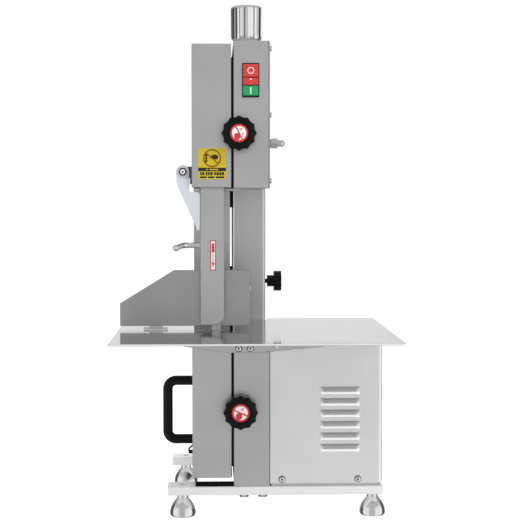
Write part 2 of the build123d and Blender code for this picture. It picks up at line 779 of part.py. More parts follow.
with BuildPart() as motor_bearings:
    for x0, x1 in bearing_spans:
        rod_x(x0, x1, wheel_y, lower_wheel_z, bearing_radius)
        rod_x(x0, x1, wheel_y, lower_wheel_z, shaft_radius + fit, mode=Mode.SUBTRACT)
motor_bearings.part.label = "motor_bearings"
export_step(motor_bearings.part, "parts/motor_bearings.step")

with BuildPart() as motor_rotor:
    rod_x(stator_left + 3, stator_right - 3, wheel_y, lower_wheel_z, rotor_radius)
    rod_x(-72, motor_right - 3, wheel_y, lower_wheel_z, shaft_radius)
    rod_x(-76, -72, wheel_y, lower_wheel_z, 17.0)
    with BuildSketch(Plane.YZ.offset(-82)):
        with Locations((wheel_y, lower_wheel_z)):
            RegularPolygon(9.2, 6)
    extrude(amount=6)
motor_rotor.part.label = "motor_rotor"
export_step(motor_rotor.part, "parts/motor_rotor.step")


# ---------------------------------------------------------------- wheels
rim_left = -66.0
flange_left = -54.0
rim_inner_radius = 94.0
web_left = -62.0
web_right = -56.0
hub_left = -72.0
hub_right = -46.0
hub_radius = 26.0
web_hole_circle = 60.0
web_hole_radius = 19.0


def band_wheel(z, bore):
    """A flanged band wheel along X in the current part, with five round openings in its web."""
    rod_x(rim_left, flange_left, wheel_y, z, wheel_radius)
    rod_x(flange_left, flange_left + 4, wheel_y, z, flange_radius)
    rod_x(rim_left - 1, web_left, wheel_y, z, rim_inner_radius, mode=Mode.SUBTRACT)
    rod_x(web_right, flange_left + 5, wheel_y, z, rim_inner_radius, mode=Mode.SUBTRACT)
    rod_x(hub_left, hub_right, wheel_y, z, hub_radius)
    rod_x(hub_left - 1, hub_right + 1, wheel_y, z, bore, mode=Mode.SUBTRACT)
    web_middle = (web_left + web_right) / 2
    with Locations(Plane(origin=(web_middle, wheel_y, z), x_dir=(0, 1, 0), z_dir=(1, 0, 0))):
        with PolarLocations(web_hole_circle, 5):
            Cylinder(web_hole_radius, 2 * (web_right - web_left) + 2, mode=Mode.SUBTRACT)


with BuildPart() as lower_wheel:
    band_wheel(lower_wheel_z, shaft_radius)
lower_wheel.part.label = "lower_wheel"
export_step(lower_wheel.part, "parts/lower_wheel.step")

wheel_bearing_radius = 17.5
with BuildPart() as upper_wheel:
    band_wheel(upper_wheel_z, wheel_bearing_radius)
upper_wheel.part.label = "upper_wheel"
export_step(upper_wheel.part, "parts/upper_wheel.step")

with BuildPart() as upper_wheel_bearings:
    for x0 in (-72.0, -57.0):
        rod_x(x0, x0 + 11, wheel_y, upper_wheel_z, wheel_bearing_radius)
        rod_x(x0, x0 + 11, wheel_y, upper_wheel_z, axle_radius + fit, mode=Mode.SUBTRACT)
upper_wheel_bearings.part.label = "upper_wheel_bearings"
export_step(upper_wheel_bearings.part, "parts/upper_wheel_bearings.step")

# ---------------------------------------------------------------- wheel slide and blade tension
slide_left = frame_left + sheet + 0.5
slide_bottom = 606.0
with BuildPart() as wheel_slide_block:
    block(slide_left, 4, wheel_y - block_half_width, wheel_y + block_half_width, slide_bottom, 711)
    rod_z(slide_bottom, 711, knob_x, wheel_y, 6.0 + fit, mode=Mode.SUBTRACT)
    rod_x(slide_left, -18, wheel_y, upper_wheel_z, 8.0, mode=Mode.SUBTRACT)
wheel_slide_block.part.label = "wheel_slide_block"
export_step(wheel_slide_block.part, "parts/wheel_slide_block.step")

with BuildPart() as upper_axle:
    rod_x(slide_left, -18, wheel_y, upper_wheel_z, 8.0)
    rod_x(-45.5, slide_left, wheel_y, upper_wheel_z, 11.0)
    rod_x(-74, -45.5, wheel_y, upper_wheel_z, axle_radius)
    rod_x(-77, -72.5, wheel_y, upper_wheel_z, 12.0)
upper_axle.part.label = "upper_axle"
export_step(upper_axle.part, "parts/upper_axle.step")

spring_bottom = 570.0
with BuildPart() as tension_spring:
    coil = Helix(pitch=8.0, height=slide_bottom - spring_bottom - 4.4, radius=10.0)
    start = coil @ 0
    with BuildSketch(Plane(origin=start, z_dir=coil % 0)):
        Circle(1.9)
    sweep(path=coil, is_frenet=True)
tension_spring.part = Pos(knob_x, wheel_y, spring_bottom + 2.2) * tension_spring.part
tension_spring.part.label = "tension_spring"
export_step(tension_spring.part, "parts/tension_spring.step")

with BuildPart() as tension_nut:
    block(knob_x - 13, knob_x + 13, wheel_y - 13, wheel_y + 13, spring_bottom - 8, spring_bottom)
    rod_z(spring_bottom - 9, spring_bottom + 1, knob_x, wheel_y, 6.0 + fit, mode=Mode.SUBTRACT)
tension_nut.part.label = "tension_nut"
export_step(tension_nut.part, "parts/tension_nut.step")

screw_bottom = 547.0
screw_top = 835.0
with BuildPart() as tension_screw:
    rod_z(screw_bottom, screw_top, knob_x, wheel_y, screw_radius)
tension_screw.part.label = "tension_screw"
export_step(tension_screw.part, "parts/tension_screw.step")

knob_height = overall_height - knob_bottom
with BuildPart() as tension_knob:
    with BuildSketch(Plane.XZ):
        with BuildLine():
            Polyline((0, 0), (20, 0), (20, 3), (knob_radius - 0.8, 9), (knob_radius, knob_height - 5))
            RadiusArc((knob_radius, knob_height - 5), (knob_radius - 5, knob_height), -5)
            Polyline((knob_radius - 5, knob_height), (0, knob_height), (0, 0))
        make_face()
    revolve(axis=Axis.Z)
    with BuildSketch(Plane.XY.offset(9)):
        with PolarLocations(knob_radius + 5, 10):
            Circle(7.5)
    extrude(amount=knob_height, mode=Mode.SUBTRACT)
    rod_z(0, 48, 0, 0, 6.0, mode=Mode.SUBTRACT)
tension_knob.part = Pos(knob_x, wheel_y, knob_bottom) * tension_knob.part
tension_knob.part.label = "tension_knob"
export_step(tension_knob.part, "parts/tension_knob.step")

with BuildPart() as tracking_screw:
    rod_x(4.6, frame_right + 6.3, wheel_y, tracking_z, 5.0)
    with BuildSketch(Plane.YZ.offset(frame_right + 6.3)):
        with Locations((wheel_y, tracking_z)):
            RegularPolygon(9.8, 6)
    extrude(amount=11)
    rod_x(frame_right + 17.3, frame_right + 24, wheel_y, tracking_z, 6.0)
    with Locations((frame_right + 24, wheel_y, tracking_z)):
        Sphere(6.0)
tracking_screw.part.label = "tracking_screw"
export_step(tracking_screw.part, "parts/tracking_screw.step")

# ---------------------------------------------------------------- blade, guides and scraper
with BuildPart() as blade:
    with BuildSketch(Plane.YZ.offset(blade_teeth_x)):
        with Locations((wheel_y, (lower_wheel_z + upper_wheel_z) / 2)):
            centres = upper_wheel_z - lower_wheel_z
            outer_width = 2 * (blade_inner_radius + blade_thickness)
            SlotCenterToCenter(centres, outer_width, rotation=90)
            SlotCenterToCenter(centres, 2 * blade_inner_radius, rotation=90, mode=Mode.SUBTRACT)
    extrude(amount=blade_back_x - blade_teeth_x)
blade.part.label = "blade"
export_step(blade.part, "parts/blade.step")

guide_slot = (blade_outer_y - 0.3, blade_near_y + 0.3)
guide_left = -66.0
guide_bottom = 322.0
guide_top = 342.0
with BuildPart() as upper_blade_guide:
    block(guide_left, guide_left + 17, guard_y + guard_sheet, -31.5, guide_bottom, guide_top)
    block(
        guide_left - 1,
        blade_back_x + 0.3,
        guide_slot[0],
        guide_slot[1],
        guide_bottom - 1,
        guide_top + 1,
        mode=Mode.SUBTRACT,
    )
upper_blade_guide.part.label = "upper_blade_guide"
export_step(upper_blade_guide.part, "parts/upper_blade_guide.step")

with BuildPart() as lower_blade_guide:
    block(-66, frame_left, -41, -31.5, 268, 288)
    block(-67, blade_back_x + 0.3, guide_slot[0], guide_slot[1], 267, 289, mode=Mode.SUBTRACT)
lower_blade_guide.part.label = "lower_blade_guide"
export_step(lower_blade_guide.part, "parts/lower_blade_guide.step")

with BuildPart() as wheel_scraper:
    scraper_z = lower_wheel_z + flange_radius + 0.8
    block(-66, frame_left, wheel_y - 8, wheel_y + 8, scraper_z, scraper_z + 5)
wheel_scraper.part.label = "wheel_scraper"
export_step(wheel_scraper.part, "parts/wheel_scraper.step")

# ---------------------------------------------------------------- adjustable blade guard
guard_back = guard_y + guard_sheet
with BuildPart() as guard_plate:
    with BuildSketch(xz_plane(guard_y)):
        with Locations(((guard_left + guard_right) / 2, (guard_bottom + guard_top) / 2)):
            panel = Rectangle(guard_right - guard_left, guard_top - guard_bottom)
        fillet(panel.vertices().group_by(Axis.Y)[0].sort_by(Axis.X)[-1:], 17.0)
    extrude(amount=-guard_sheet)
    block(guard_left, guard_left + guard_sheet, guard_y, -31, guard_bottom, guard_top)
guard_plate.part.label = "guard_plate"
export_step(guard_plate.part, "parts/guard_plate.step")

with BuildPart() as guard_handle:
    rod_y0 = -36.0
    with BuildLine() as guard_rod:
        FilletPolyline(
            (guard_left, rod_y0, guard_handle_z),
            (guard_left - 30, rod_y0, guard_handle_z),
            (guard_left - 39, rod_y0 - 38, guard_handle_z - 3),
            radius=14,
        )
    with BuildSketch(Plane(origin=guard_rod.line @ 0, z_dir=guard_rod.line % 0)):
        Circle(guard_handle_radius)
    sweep()
    with Locations(guard_rod.line @ 1):
        Sphere(guard_handle_radius + 0.6)
guard_handle.part.label = "guard_handle"
export_step(guard_handle.part, "parts/guard_handle.step")

track_bottom = 551.0
track_top = 620.0
with BuildPart() as guard_track:
    block(guard_right + 0.3, frame_left, guard_y - 3, -36, track_bottom, track_top)
    block(-54, guard_right + 0.3, guard_y - 3, guard_y - 0.3, track_bottom, track_top)
    block(-53, guard_right + 0.3, guard_back + 0.3, guard_back + 1.8, track_bottom, track_top)
guard_track.part.label = "guard_track"
export_step(guard_track.part, "parts/guard_track.step")

# ---------------------------------------------------------------- gauge plate
gauge_back = gauge_y + gauge_sheet
with BuildPart() as gauge_plate:
    with BuildSketch(xz_plane(gauge_y)):
        with BuildLine():
            Polyline(
                (gauge_left, gauge_bottom),
                (gauge_right, gauge_bottom),
                (gauge_right, gauge_top),
                (-131.5, gauge_top),
                (gauge_left, 350.5),
                close=True,
            )
        outline = make_face()
        fillet(outline.vertices().group_by(Axis.X)[-1], 6.0)
        fillet(outline.vertices().sort_by(Axis.X)[:3], 3.0)
    extrude(amount=-gauge_sheet)
gauge_plate.part.label = "gauge_plate"
export_step(gauge_plate.part, "parts/gauge_plate.step")

with BuildPart() as gauge_rod:
    rod_y(gauge_back, half_depth - 2, gauge_rod_x, gauge_rod_z, gauge_rod_radius)
    rod_y(gauge_back, gauge_back + 8, gauge_rod_x, gauge_rod_z, 10.0)
gauge_rod.part.label = "gauge_rod"
export_step(gauge_rod.part, "parts/gauge_rod.step")

foot_left = -173.0
foot_right = -150.0
with BuildPart() as gauge_foot:
    block(foot_left, foot_right, gauge_y - 1, gauge_back + 1, table_top + 0.4, gauge_bottom)
    rod_x(foot_left - 9, foot_right + 8, gauge_y + gauge_sheet / 2, table_top + 2.2, 1.6)
gauge_foot.part.label = "gauge_foot"
export_step(gauge_foot.part, "parts/gauge_foot.step")

gauge_knob_head = star_knob(18.2, 8, 13.7, 10.4, 12.0, 0)
with BuildPart() as gauge_lock_knob:
    with Locations(Location((frame_right + 4, gauge_lock_y, gauge_rod_z), (0, 90, 0))):
        add(gauge_knob_head)
    rod_x(gauge_rod_x + gauge_rod_radius + 0.5, frame_right + 4, gauge_lock_y, gauge_rod_z, 4.0)
gauge_lock_knob.part.label = "gauge_lock_knob"
export_step(gauge_lock_knob.part, "parts/gauge_lock_knob.step")

# ---------------------------------------------------------------- switch
switch_lip = 2.0  # front plate past the body on each side
bezel_y = near_y - 5.0
button_left = switch_left + 1.2
button_right = switch_right - 1.2
stem_left = switch_left + 5.0
stem_right = switch_right - 5.0
button_play = 0.3
stop_z = (720.0, 741.0)
start_z = (690.0, 707.0)
head_floor = near_y - 0.8
well_floor = near_y + 8.0
with BuildPart() as switch_housing:
    block(switch_left, switch_right, bezel_y, near_y, switch_bottom, switch_top)
    fillet(switch_housing.edges().filter_by(Axis.Y), 1.0)
    block(
        switch_left + switch_lip,
        switch_right - switch_lip,
        near_y,
        near_y + 42,
        switch_bottom + switch_lip,
        switch_top - switch_lip,
    )
    block(button_left, button_right, bezel_y - 2, near_y, start_z[1] + 0.6, stop_z[0] - 0.6)
    for z0, z1 in (stop_z, start_z):
        block(button_left, button_right, bezel_y - 3, head_floor, z0, z1, mode=Mode.SUBTRACT)
        block(stem_left, stem_right, head_floor, well_floor, z0 + 4, z1 - 4, mode=Mode.SUBTRACT)
switch_housing.part.label = "switch_housing"
export_step(switch_housing.part, "parts/switch_housing.step")


def rocker(front, z0, z1):
    """A push button: a wide head that stands out to y front, and a stem into the switch."""
    with BuildPart() as button:
        block(
            button_left + button_play,
            button_right - button_play,
            front,
            bezel_y + 1,
            z0 + button_play,
            z1 - button_play,
        )
        fillet(button.faces().sort_by(Axis.Y)[0].edges(), 1.5)
        block(
            stem_left + button_play,
            stem_right - button_play,
            bezel_y + 1,
            near_y + 4,
            z0 + 4 + button_play,
            z1 - 4 - button_play,
        )
    return button.part


stop_shape = rocker(near_y - 10, stop_z[0], stop_z[1])
with BuildPart() as stop_button:
    add(stop_shape)
stop_button.part.label = "stop_button"
export_step(stop_button.part, "parts/stop_button.step")

start_shape = rocker(near_y - 7, start_z[0], start_z[1])
with BuildPart() as start_button:
    add(start_shape)
start_button.part.label = "start_button"
export_step(start_button.part, "parts/start_button.step")

# ---------------------------------------------------------------- scrap tray and cable gland
with BuildPart() as scrap_tray:
    block(tray_left, tray_right, tray_near, tray_far, bar_top + 0.3, tray_top)
    block(
        tray_left + tray_wall,
        tray_right - tray_wall,
        tray_near + tray_wall,
        tray_far - tray_wall,
        bar_top + 0.3 + tray_wall,
        tray_top,
        mode=Mode.SUBTRACT,
    )
    # Finger lip
    block(tray_left - 6, tray_left, tray_near + 30, tray_far - 35, tray_top - tray_wall, tray_top)
scrap_tray.part.label = "scrap_tray"
export_step(scrap_tray.part, "parts/scrap_tray.step")

with BuildPart() as cable_gland:
    rod_y(rear_y - 4, rear_y, 0, 90, 6.0)
    with BuildSketch(xz_plane(rear_y)):
        with Locations((0, 90)):
            RegularPolygon(9.5, 6)
    extrude(amount=-6.0)
    rod_y(rear_y - 5, rear_y + 7, 0, 90, 3.5, mode=Mode.SUBTRACT)
cable_gland.part.label = "cable_gland"
export_step(cable_gland.part, "parts/cable_gland.step")
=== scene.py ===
"""Looks of the countertop bone saw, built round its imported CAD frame. Metres, +Z up."""

import json
import math

import bmesh
import bpy
from mathutils import Matrix, Vector


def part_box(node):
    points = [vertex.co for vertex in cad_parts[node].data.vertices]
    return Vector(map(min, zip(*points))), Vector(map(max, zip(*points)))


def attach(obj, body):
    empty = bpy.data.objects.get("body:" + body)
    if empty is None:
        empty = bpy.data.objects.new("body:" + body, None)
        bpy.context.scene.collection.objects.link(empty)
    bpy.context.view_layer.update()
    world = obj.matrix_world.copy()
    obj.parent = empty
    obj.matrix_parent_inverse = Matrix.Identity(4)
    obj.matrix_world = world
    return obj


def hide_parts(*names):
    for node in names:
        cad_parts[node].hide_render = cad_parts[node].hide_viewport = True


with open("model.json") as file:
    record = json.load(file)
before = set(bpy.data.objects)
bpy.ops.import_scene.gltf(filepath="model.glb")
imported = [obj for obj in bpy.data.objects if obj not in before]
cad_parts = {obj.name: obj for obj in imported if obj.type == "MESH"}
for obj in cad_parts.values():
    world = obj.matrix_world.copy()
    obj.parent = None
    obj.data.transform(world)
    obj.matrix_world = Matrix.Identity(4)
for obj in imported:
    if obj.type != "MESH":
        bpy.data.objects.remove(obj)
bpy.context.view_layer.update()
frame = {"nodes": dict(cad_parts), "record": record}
NODES = frame["nodes"]
MM = 0.001


# ---------------------------------------------------------------- camera, floor and light
def set_camera():
    """The camera stands level with the blade guard, a little left of the machine's middle."""
    data = bpy.data.cameras.new("camera")
    data.sensor_width = 36.0
    data.lens = 93.5
    data.clip_start = 0.05
    data.clip_end = 60.0
    camera = bpy.data.objects.new("camera", data)
    bpy.context.scene.collection.objects.link(camera)
    camera.location = (-0.0625, -2.273, 0.527)
    pitch = math.radians(2.76)
    yaw = math.radians(1.97)
    camera.rotation_euler = (math.pi / 2 - pitch, 0.0, -yaw)
    bpy.context.scene.camera = camera


def area_light(name, place, target, width, height, watts):
    """A soft rectangular lamp at place, facing target."""
    data = bpy.data.lights.new(name, "AREA")
    data.shape = "RECTANGLE"
    data.size = width
    data.size_y = height
    data.energy = watts
    lamp = bpy.data.objects.new(name, data)
    bpy.context.scene.collection.objects.link(lamp)
    lamp.location = place
    lamp.rotation_euler = (Vector(target) - Vector(place)).to_track_quat("-Z", "Y").to_euler()
    return lamp


# Brightness of the surround at each compass direction, in degrees from the front, +X positive.
SURROUND = (
    (-173, 1.0), (-166, 0.30), (-134, 0.28), (-126, 0.05), (-102, 0.05), (-94, 0.95), (-42, 0.92), (-28, 0.56),
    (0, 0.50), (14, 0.54), (28, 0.92), (90, 1.0), (98, 0.05), (126, 0.05), (134, 0.28), (166, 0.30), (173, 1.0),
)
CEILING = 0.52  # grey overhead
# Height (as the sine of the elevation) over which the bands give way to the ceiling.
CEILING_STARTS, CEILING_FULL = 0.30, 0.62


def direction_bands(tree):
    """Brightness of the surround that metal reflects, by compass direction, with a grey ceiling above."""
    coordinate = tree.nodes.new("ShaderNodeTexCoord")
    split = tree.nodes.new("ShaderNodeSeparateXYZ")
    tree.links.new(coordinate.outputs["Generated"], split.inputs["Vector"])
    side = tree.nodes.new("ShaderNodeMath")
    side.operation = "ARCTAN2"
    backward = tree.nodes.new("ShaderNodeMath")
    backward.operation = "MULTIPLY"
    backward.inputs[1].default_value = -1.0
    tree.links.new(split.outputs["Y"], backward.inputs[0])
    tree.links.new(split.outputs["X"], side.inputs[0])
    tree.links.new(backward.outputs["Value"], side.inputs[1])
    turn = tree.nodes.new("ShaderNodeMapRange")
    turn.inputs["From Min"].default_value = -math.pi
    turn.inputs["From Max"].default_value = math.pi
    tree.links.new(side.outputs["Value"], turn.inputs["Value"])
    compass = tree.nodes.new("ShaderNodeValToRGB")
    tree.links.new(turn.outputs["Result"], compass.inputs["Fac"])
    stops = compass.color_ramp.elements
    stops[0].position = 0.0
    stops[1].position = 1.0
    for degrees, grey in SURROUND:
        element = stops.new((degrees + 180.0) / 360.0)
        element.color = (grey, grey, grey, 1.0)
    for end in (stops[0], stops[len(stops) - 1]):
        end.color = (1.0, 1.0, 1.0, 1.0)
    up = tree.nodes.new("ShaderNodeMapRange")
    up.interpolation_type = "SMOOTHSTEP"
    up.inputs["From Min"].default_value = CEILING_STARTS
    up.inputs["From Max"].default_value = CEILING_FULL
    tree.links.new(split.outputs["Z"], up.inputs["Value"])
    sky = tree.nodes.new("ShaderNodeMix")
    sky.data_type = "RGBA"
    sky.inputs[7].default_value = (CEILING, CEILING, CEILING, 1.0)
    tree.links.new(up.outputs["Result"], sky.inputs[0])
    tree.links.new(compass.outputs["Color"], sky.inputs[6])
    return sky.outputs[2]


FLOOR_GAP = 0.4 * MM  # keeps the floor just under the feet


def set_studio():
    """A white floor, soft lamps, and a surround that the camera sees white and metal sees in bands."""
    scene = bpy.context.scene
    scene.view_settings.view_transform = "Standard"
    world = bpy.data.worlds.new("studio")
    scene.world = world
    world.use_nodes = True
    tree = world.node_tree
    tree.nodes.clear()
    output = tree.nodes.new("ShaderNodeOutputWorld")
    lit = tree.nodes.new("ShaderNodeBackground")
    seen = tree.nodes.new("ShaderNodeBackground")
    choose = tree.nodes.new("ShaderNodeMixShader")
    ray = tree.nodes.new("ShaderNodeLightPath")
    tree.links.new(direction_bands(tree), lit.inputs["Color"])
    tree.links.new(ray.outputs["Is Camera Ray"], choose.inputs[0])
    tree.links.new(lit.outputs["Background"], choose.inputs[1])
    tree.links.new(seen.outputs["Background"], choose.inputs[2])
    tree.links.new(choose.outputs["Shader"], output.inputs["Surface"])
    seen.inputs["Color"].default_value = (1.0, 1.0, 1.0, 1.0)

    for lamp in (
        area_light("key", (-1.8, -1.2, 2.6), (0, 0, 0.4), 1.8, 1.8, 42),
        area_light("fill", (2.0, -1.6, 1.8), (0, 0, 0.4), 1.6, 1.6, 22),
        area_light("top", (0.0, 0.9, 2.8), (0, 0, 0.3), 2.4, 2.4, 45),
    ):
        lamp.visible_glossy = False

    mesh = bpy.data.meshes.new("floor")
    half = 12.0
    corners = [(-half, -half, 0), (half, -half, 0), (half, half, 0), (-half, half, 0)]
    mesh.from_pydata(corners, [], [(0, 1, 2, 3)])
    floor = bpy.data.objects.new("floor", mesh)
    scene.collection.objects.link(floor)
    floor.location.z = -FLOOR_GAP
    floor.visible_glossy = False
    material = bpy.data.materials.new("floor_paper")
    material.use_nodes = True
    shader = material.node_tree.nodes["Principled BSDF"]
    shader.inputs["Base Color"].default_value = (0.30, 0.30, 0.30, 1.0)
    shader.inputs["Roughness"].default_value = 0.8
    shader.inputs["Specular IOR Level"].default_value = 0.1
    shader.inputs["Emission Color"].default_value = (1.0, 1.0, 1.0, 1.0)
    shader.inputs["Emission Strength"].default_value = 0.92
    mesh.materials.append(material)


set_camera()
set_studio()


# ---------------------------------------------------------------- materials
EDGE_RADIUS = 1.0 * MM


class Nodes:
    """A short way to write one material's node tree."""

    def __init__(self, name):
        self.material = bpy.data.materials.new(name)
        self.material.use_nodes = True
        self.tree = self.material.node_tree
        self.shader = self.tree.nodes["Principled BSDF"]
        self.coordinate = self.tree.nodes.new("ShaderNodeTexCoord")

    def new(self, kind, **inputs):
        node = self.tree.nodes.new(kind)
        for key, value in inputs.items():
            node.inputs[key.replace("_", " ")].default_value = value
        return node

    def link(self, source, target):
        self.tree.links.new(source, target)

    def noise(self, scale, stretch=(1, 1, 1), detail=4.0, rough=0.55):
        """Noise in object space, stretched along the axes whose factor is small."""
        mapping = self.tree.nodes.new("ShaderNodeMapping")
        mapping.inputs["Scale"].default_value = stretch
        self.link(self.coordinate.outputs["Object"], mapping.inputs["Vector"])
        noise = self.new("ShaderNodeTexNoise", Scale=scale, Detail=detail, Roughness=rough)
        self.link(mapping.outputs["Vector"], noise.inputs["Vector"])
        return noise.outputs["Fac"]

    def spread(self, fac, low, high, start=0.3, end=0.7):
        """fac between start and end, mapped to low..high."""
        node = self.new("ShaderNodeMapRange")
        node.inputs["From Min"].default_value = start
        node.inputs["From Max"].default_value = end
        node.inputs["To Min"].default_value = low
        node.inputs["To Max"].default_value = high
        self.link(fac, node.inputs["Value"])
        return node.outputs["Result"]

    def mix(self, fac, first, second):
        """A colour between two, by fac."""
        node = self.tree.nodes.new("ShaderNodeMix")
        node.data_type = "RGBA"
        for socket, value in ((node.inputs[6], first), (node.inputs[7], second)):
            if isinstance(value, tuple):
                socket.default_value = (*value, 1.0)
            else:
                self.link(value, socket)
        self.link(fac, node.inputs[0])
        return node.outputs[2]

    def round_edges(self, radius):
        """The surface's normal as if every edge had this radius, for the bump and the edge mask."""
        self.rounded = self.new("ShaderNodeBevel", Radius=radius)
        self.rounded.samples = 3

    def edge_mask(self, low=0.02, high=0.25):
        """About 1 along edges and 0 on faces, from how far the rounded normal leans over."""
        geometry = self.tree.nodes.new("ShaderNodeNewGeometry")
        agree = self.tree.nodes.new("ShaderNodeVectorMath")
        agree.operation = "DOT_PRODUCT"
        self.link(self.rounded.outputs["Normal"], agree.inputs[0])
        self.link(geometry.outputs["Normal"], agree.inputs[1])
        return self.spread(agree.outputs["Value"], 1.0, 0.0, 1.0 - high, 1.0 - low)

    def bump(self, height, strength, distance):
        """Fine relief on top of the rounded edges."""
        node = self.new("ShaderNodeBump", Strength=strength, Distance=distance)
        self.link(height, node.inputs["Height"])
        self.link(self.rounded.outputs["Normal"], node.inputs["Normal"])
        self.link(node.outputs["Normal"], self.shader.inputs["Normal"])

    def set(self, **values):
        for key, value in values.items():
            socket = self.shader.inputs[key.replace("_", " ")]
            if hasattr(value, "is_linked") or hasattr(value, "links"):
                self.link(value, socket)
            else:
                socket.default_value = (*value, 1.0) if isinstance(value, tuple) else value
        return self.material


def brushed_steel(name, colour, roughness, grain, strength=0.05, metal=1.0, edge=0.5, edge_metal=None,
                  fold=EDGE_RADIUS, painted_top_shade=None, glancing=1.0):
    """Satin stainless: fine grain along the axis whose factor is 1, faint smears, and painted light along the edges.

    edge scales the colour along folds of radius fold, a painted shade line below 1 and a painted highlight above 1;
    edge_metal is how metallic they are, painted_top_shade is the colour painted as shade on what faces up, and
    glancing scales the shine at a low angle.
    """
    n = Nodes(name)
    n.shader.inputs["Specular Tint"].default_value = (glancing, glancing, glancing, 1.0)
    n.round_edges(fold)
    dark = tuple(c * 0.90 for c in colour)
    light = tuple(min(1.0, c * 1.08) for c in colour)
    lines = n.noise(22.0, grain, detail=5.0, rough=0.7)
    smear = n.noise(7.0, detail=3.0)
    tone = n.mix(n.spread(smear, 0.0, 1.0), dark, light)
    streak = n.mix(n.spread(lines, 0.0, 0.5), tone, light)
    # Painted light along the edges: the colour there is scaled by edge, a darker shade line below 1, a paler
    # highlight above 1
    wear_and_painted_edge_light = n.edge_mask(0.01, 0.14)
    folded = n.mix(wear_and_painted_edge_light, streak, tuple(min(1.0, c * edge) for c in colour))
    n.bump(lines, strength, 0.08 * MM)
    if edge_metal is not None:
        metal = n.spread(wear_and_painted_edge_light, metal, edge_metal, 0.0, 1.0)
    if painted_top_shade is not None:
        # Painted shade on what faces up and a painted highlight on what faces down: painted_top_shade above, a
        # lighter and less metallic colour below
        geometry = n.tree.nodes.new("ShaderNodeNewGeometry")
        split = n.tree.nodes.new("ShaderNodeSeparateXYZ")
        n.link(geometry.outputs["Normal"], split.inputs["Vector"])
        level, leaning = -0.04, 0.10
        folded = n.mix(n.spread(split.outputs["Z"], 0.0, 1.0, level, leaning), light, painted_top_shade)
        metal = n.spread(split.outputs["Z"], 0.35, 1.0, level, leaning)
    return n.set(Base_Color=folded, Metallic=metal, Roughness=n.spread(lines, roughness * 0.8, roughness * 1.25))


def polished_metal(name, colour, roughness, strength=0.02):
    """Chrome or ground metal: mirror-like with faint fingerprints and hairlines."""
    n = Nodes(name)
    n.round_edges(EDGE_RADIUS)
    smear = n.noise(40.0, detail=4.0)
    hair = n.noise(90.0, (1, 1, 25), detail=3.0)
    tone = n.mix(n.spread(smear, 0.0, 1.0), tuple(c * 0.94 for c in colour), colour)
    n.bump(hair, strength, 0.05 * MM)
    return n.set(Base_Color=tone, Metallic=1.0, Roughness=n.spread(smear, roughness * 0.7, roughness * 1.4))


def plastic(name, colour, roughness, coat=0.0, texture=700.0, strength=0.08, gloss=0.5):
    """Moulded plastic: a fine pebble, small colour variation and paler worn edges."""
    n = Nodes(name)
    n.round_edges(EDGE_RADIUS)
    pebble = n.noise(texture, detail=3.0)
    cloud = n.noise(30.0)
    tone = n.mix(n.spread(cloud, 0.0, 1.0), tuple(c * 0.86 for c in colour), colour)
    wear_and_painted_edge_light = n.mix(n.edge_mask(), tone, tuple(min(1.0, c * 1.3 + 0.008) for c in colour))
    n.bump(pebble, strength, 0.1 * MM)
    n.shader.inputs["Coat Weight"].default_value = coat
    n.shader.inputs["Specular IOR Level"].default_value = gloss
    n.shader.inputs["Coat Roughness"].default_value = 0.08
    return n.set(Base_Color=wear_and_painted_edge_light, Roughness=n.spread(cloud, roughness * 0.8, roughness * 1.2))


def painted_metal(name, colour, roughness):
    """Enamel or powder coat: orange-peel bump, chipped paler edges."""
    n = Nodes(name)
    n.round_edges(EDGE_RADIUS)
    peel = n.noise(350.0, detail=2.0)
    cloud = n.noise(12.0)
    tone = n.mix(n.spread(cloud, 0.0, 1.0), tuple(c * 0.85 for c in colour), colour)
    chip = n.mix(n.edge_mask(0.10, 0.45), tone, (0.45, 0.45, 0.45))
    n.bump(peel, 0.12, 0.2 * MM)
    return n.set(Base_Color=chip, Roughness=roughness)


def milky_sheet(name):
    """Translucent plastic sheet: bluish white, a little see-through, with fine scratches."""
    n = Nodes(name)
    n.round_edges(EDGE_RADIUS)
    scratch = n.noise(120.0, (6, 6, 0.4), detail=4.0)
    n.bump(scratch, 0.05, 0.1 * MM)
    n.shader.inputs["Transmission Weight"].default_value = 0.35
    n.shader.inputs["IOR"].default_value = 1.45
    tone = n.mix(n.noise(25.0), (0.70, 0.73, 0.78), (0.80, 0.82, 0.86))
    return n.set(Base_Color=tone, Roughness=n.spread(scratch, 0.25, 0.5))


def printed(name, colour):
    """Printed vinyl: a slight orange peel and faint scuffs under a thin gloss."""
    roughness = 0.45
    n = Nodes(name)
    n.round_edges(0.15 * MM)
    scuff = n.noise(180.0, detail=5.0)
    tone = n.mix(n.spread(scuff, 0.0, 1.0), tuple(c * 0.90 for c in colour), colour)
    n.bump(n.noise(420.0), 0.05, 0.1 * MM)
    return n.set(Base_Color=tone, Roughness=n.spread(scuff, roughness * 0.8, roughness * 1.3))
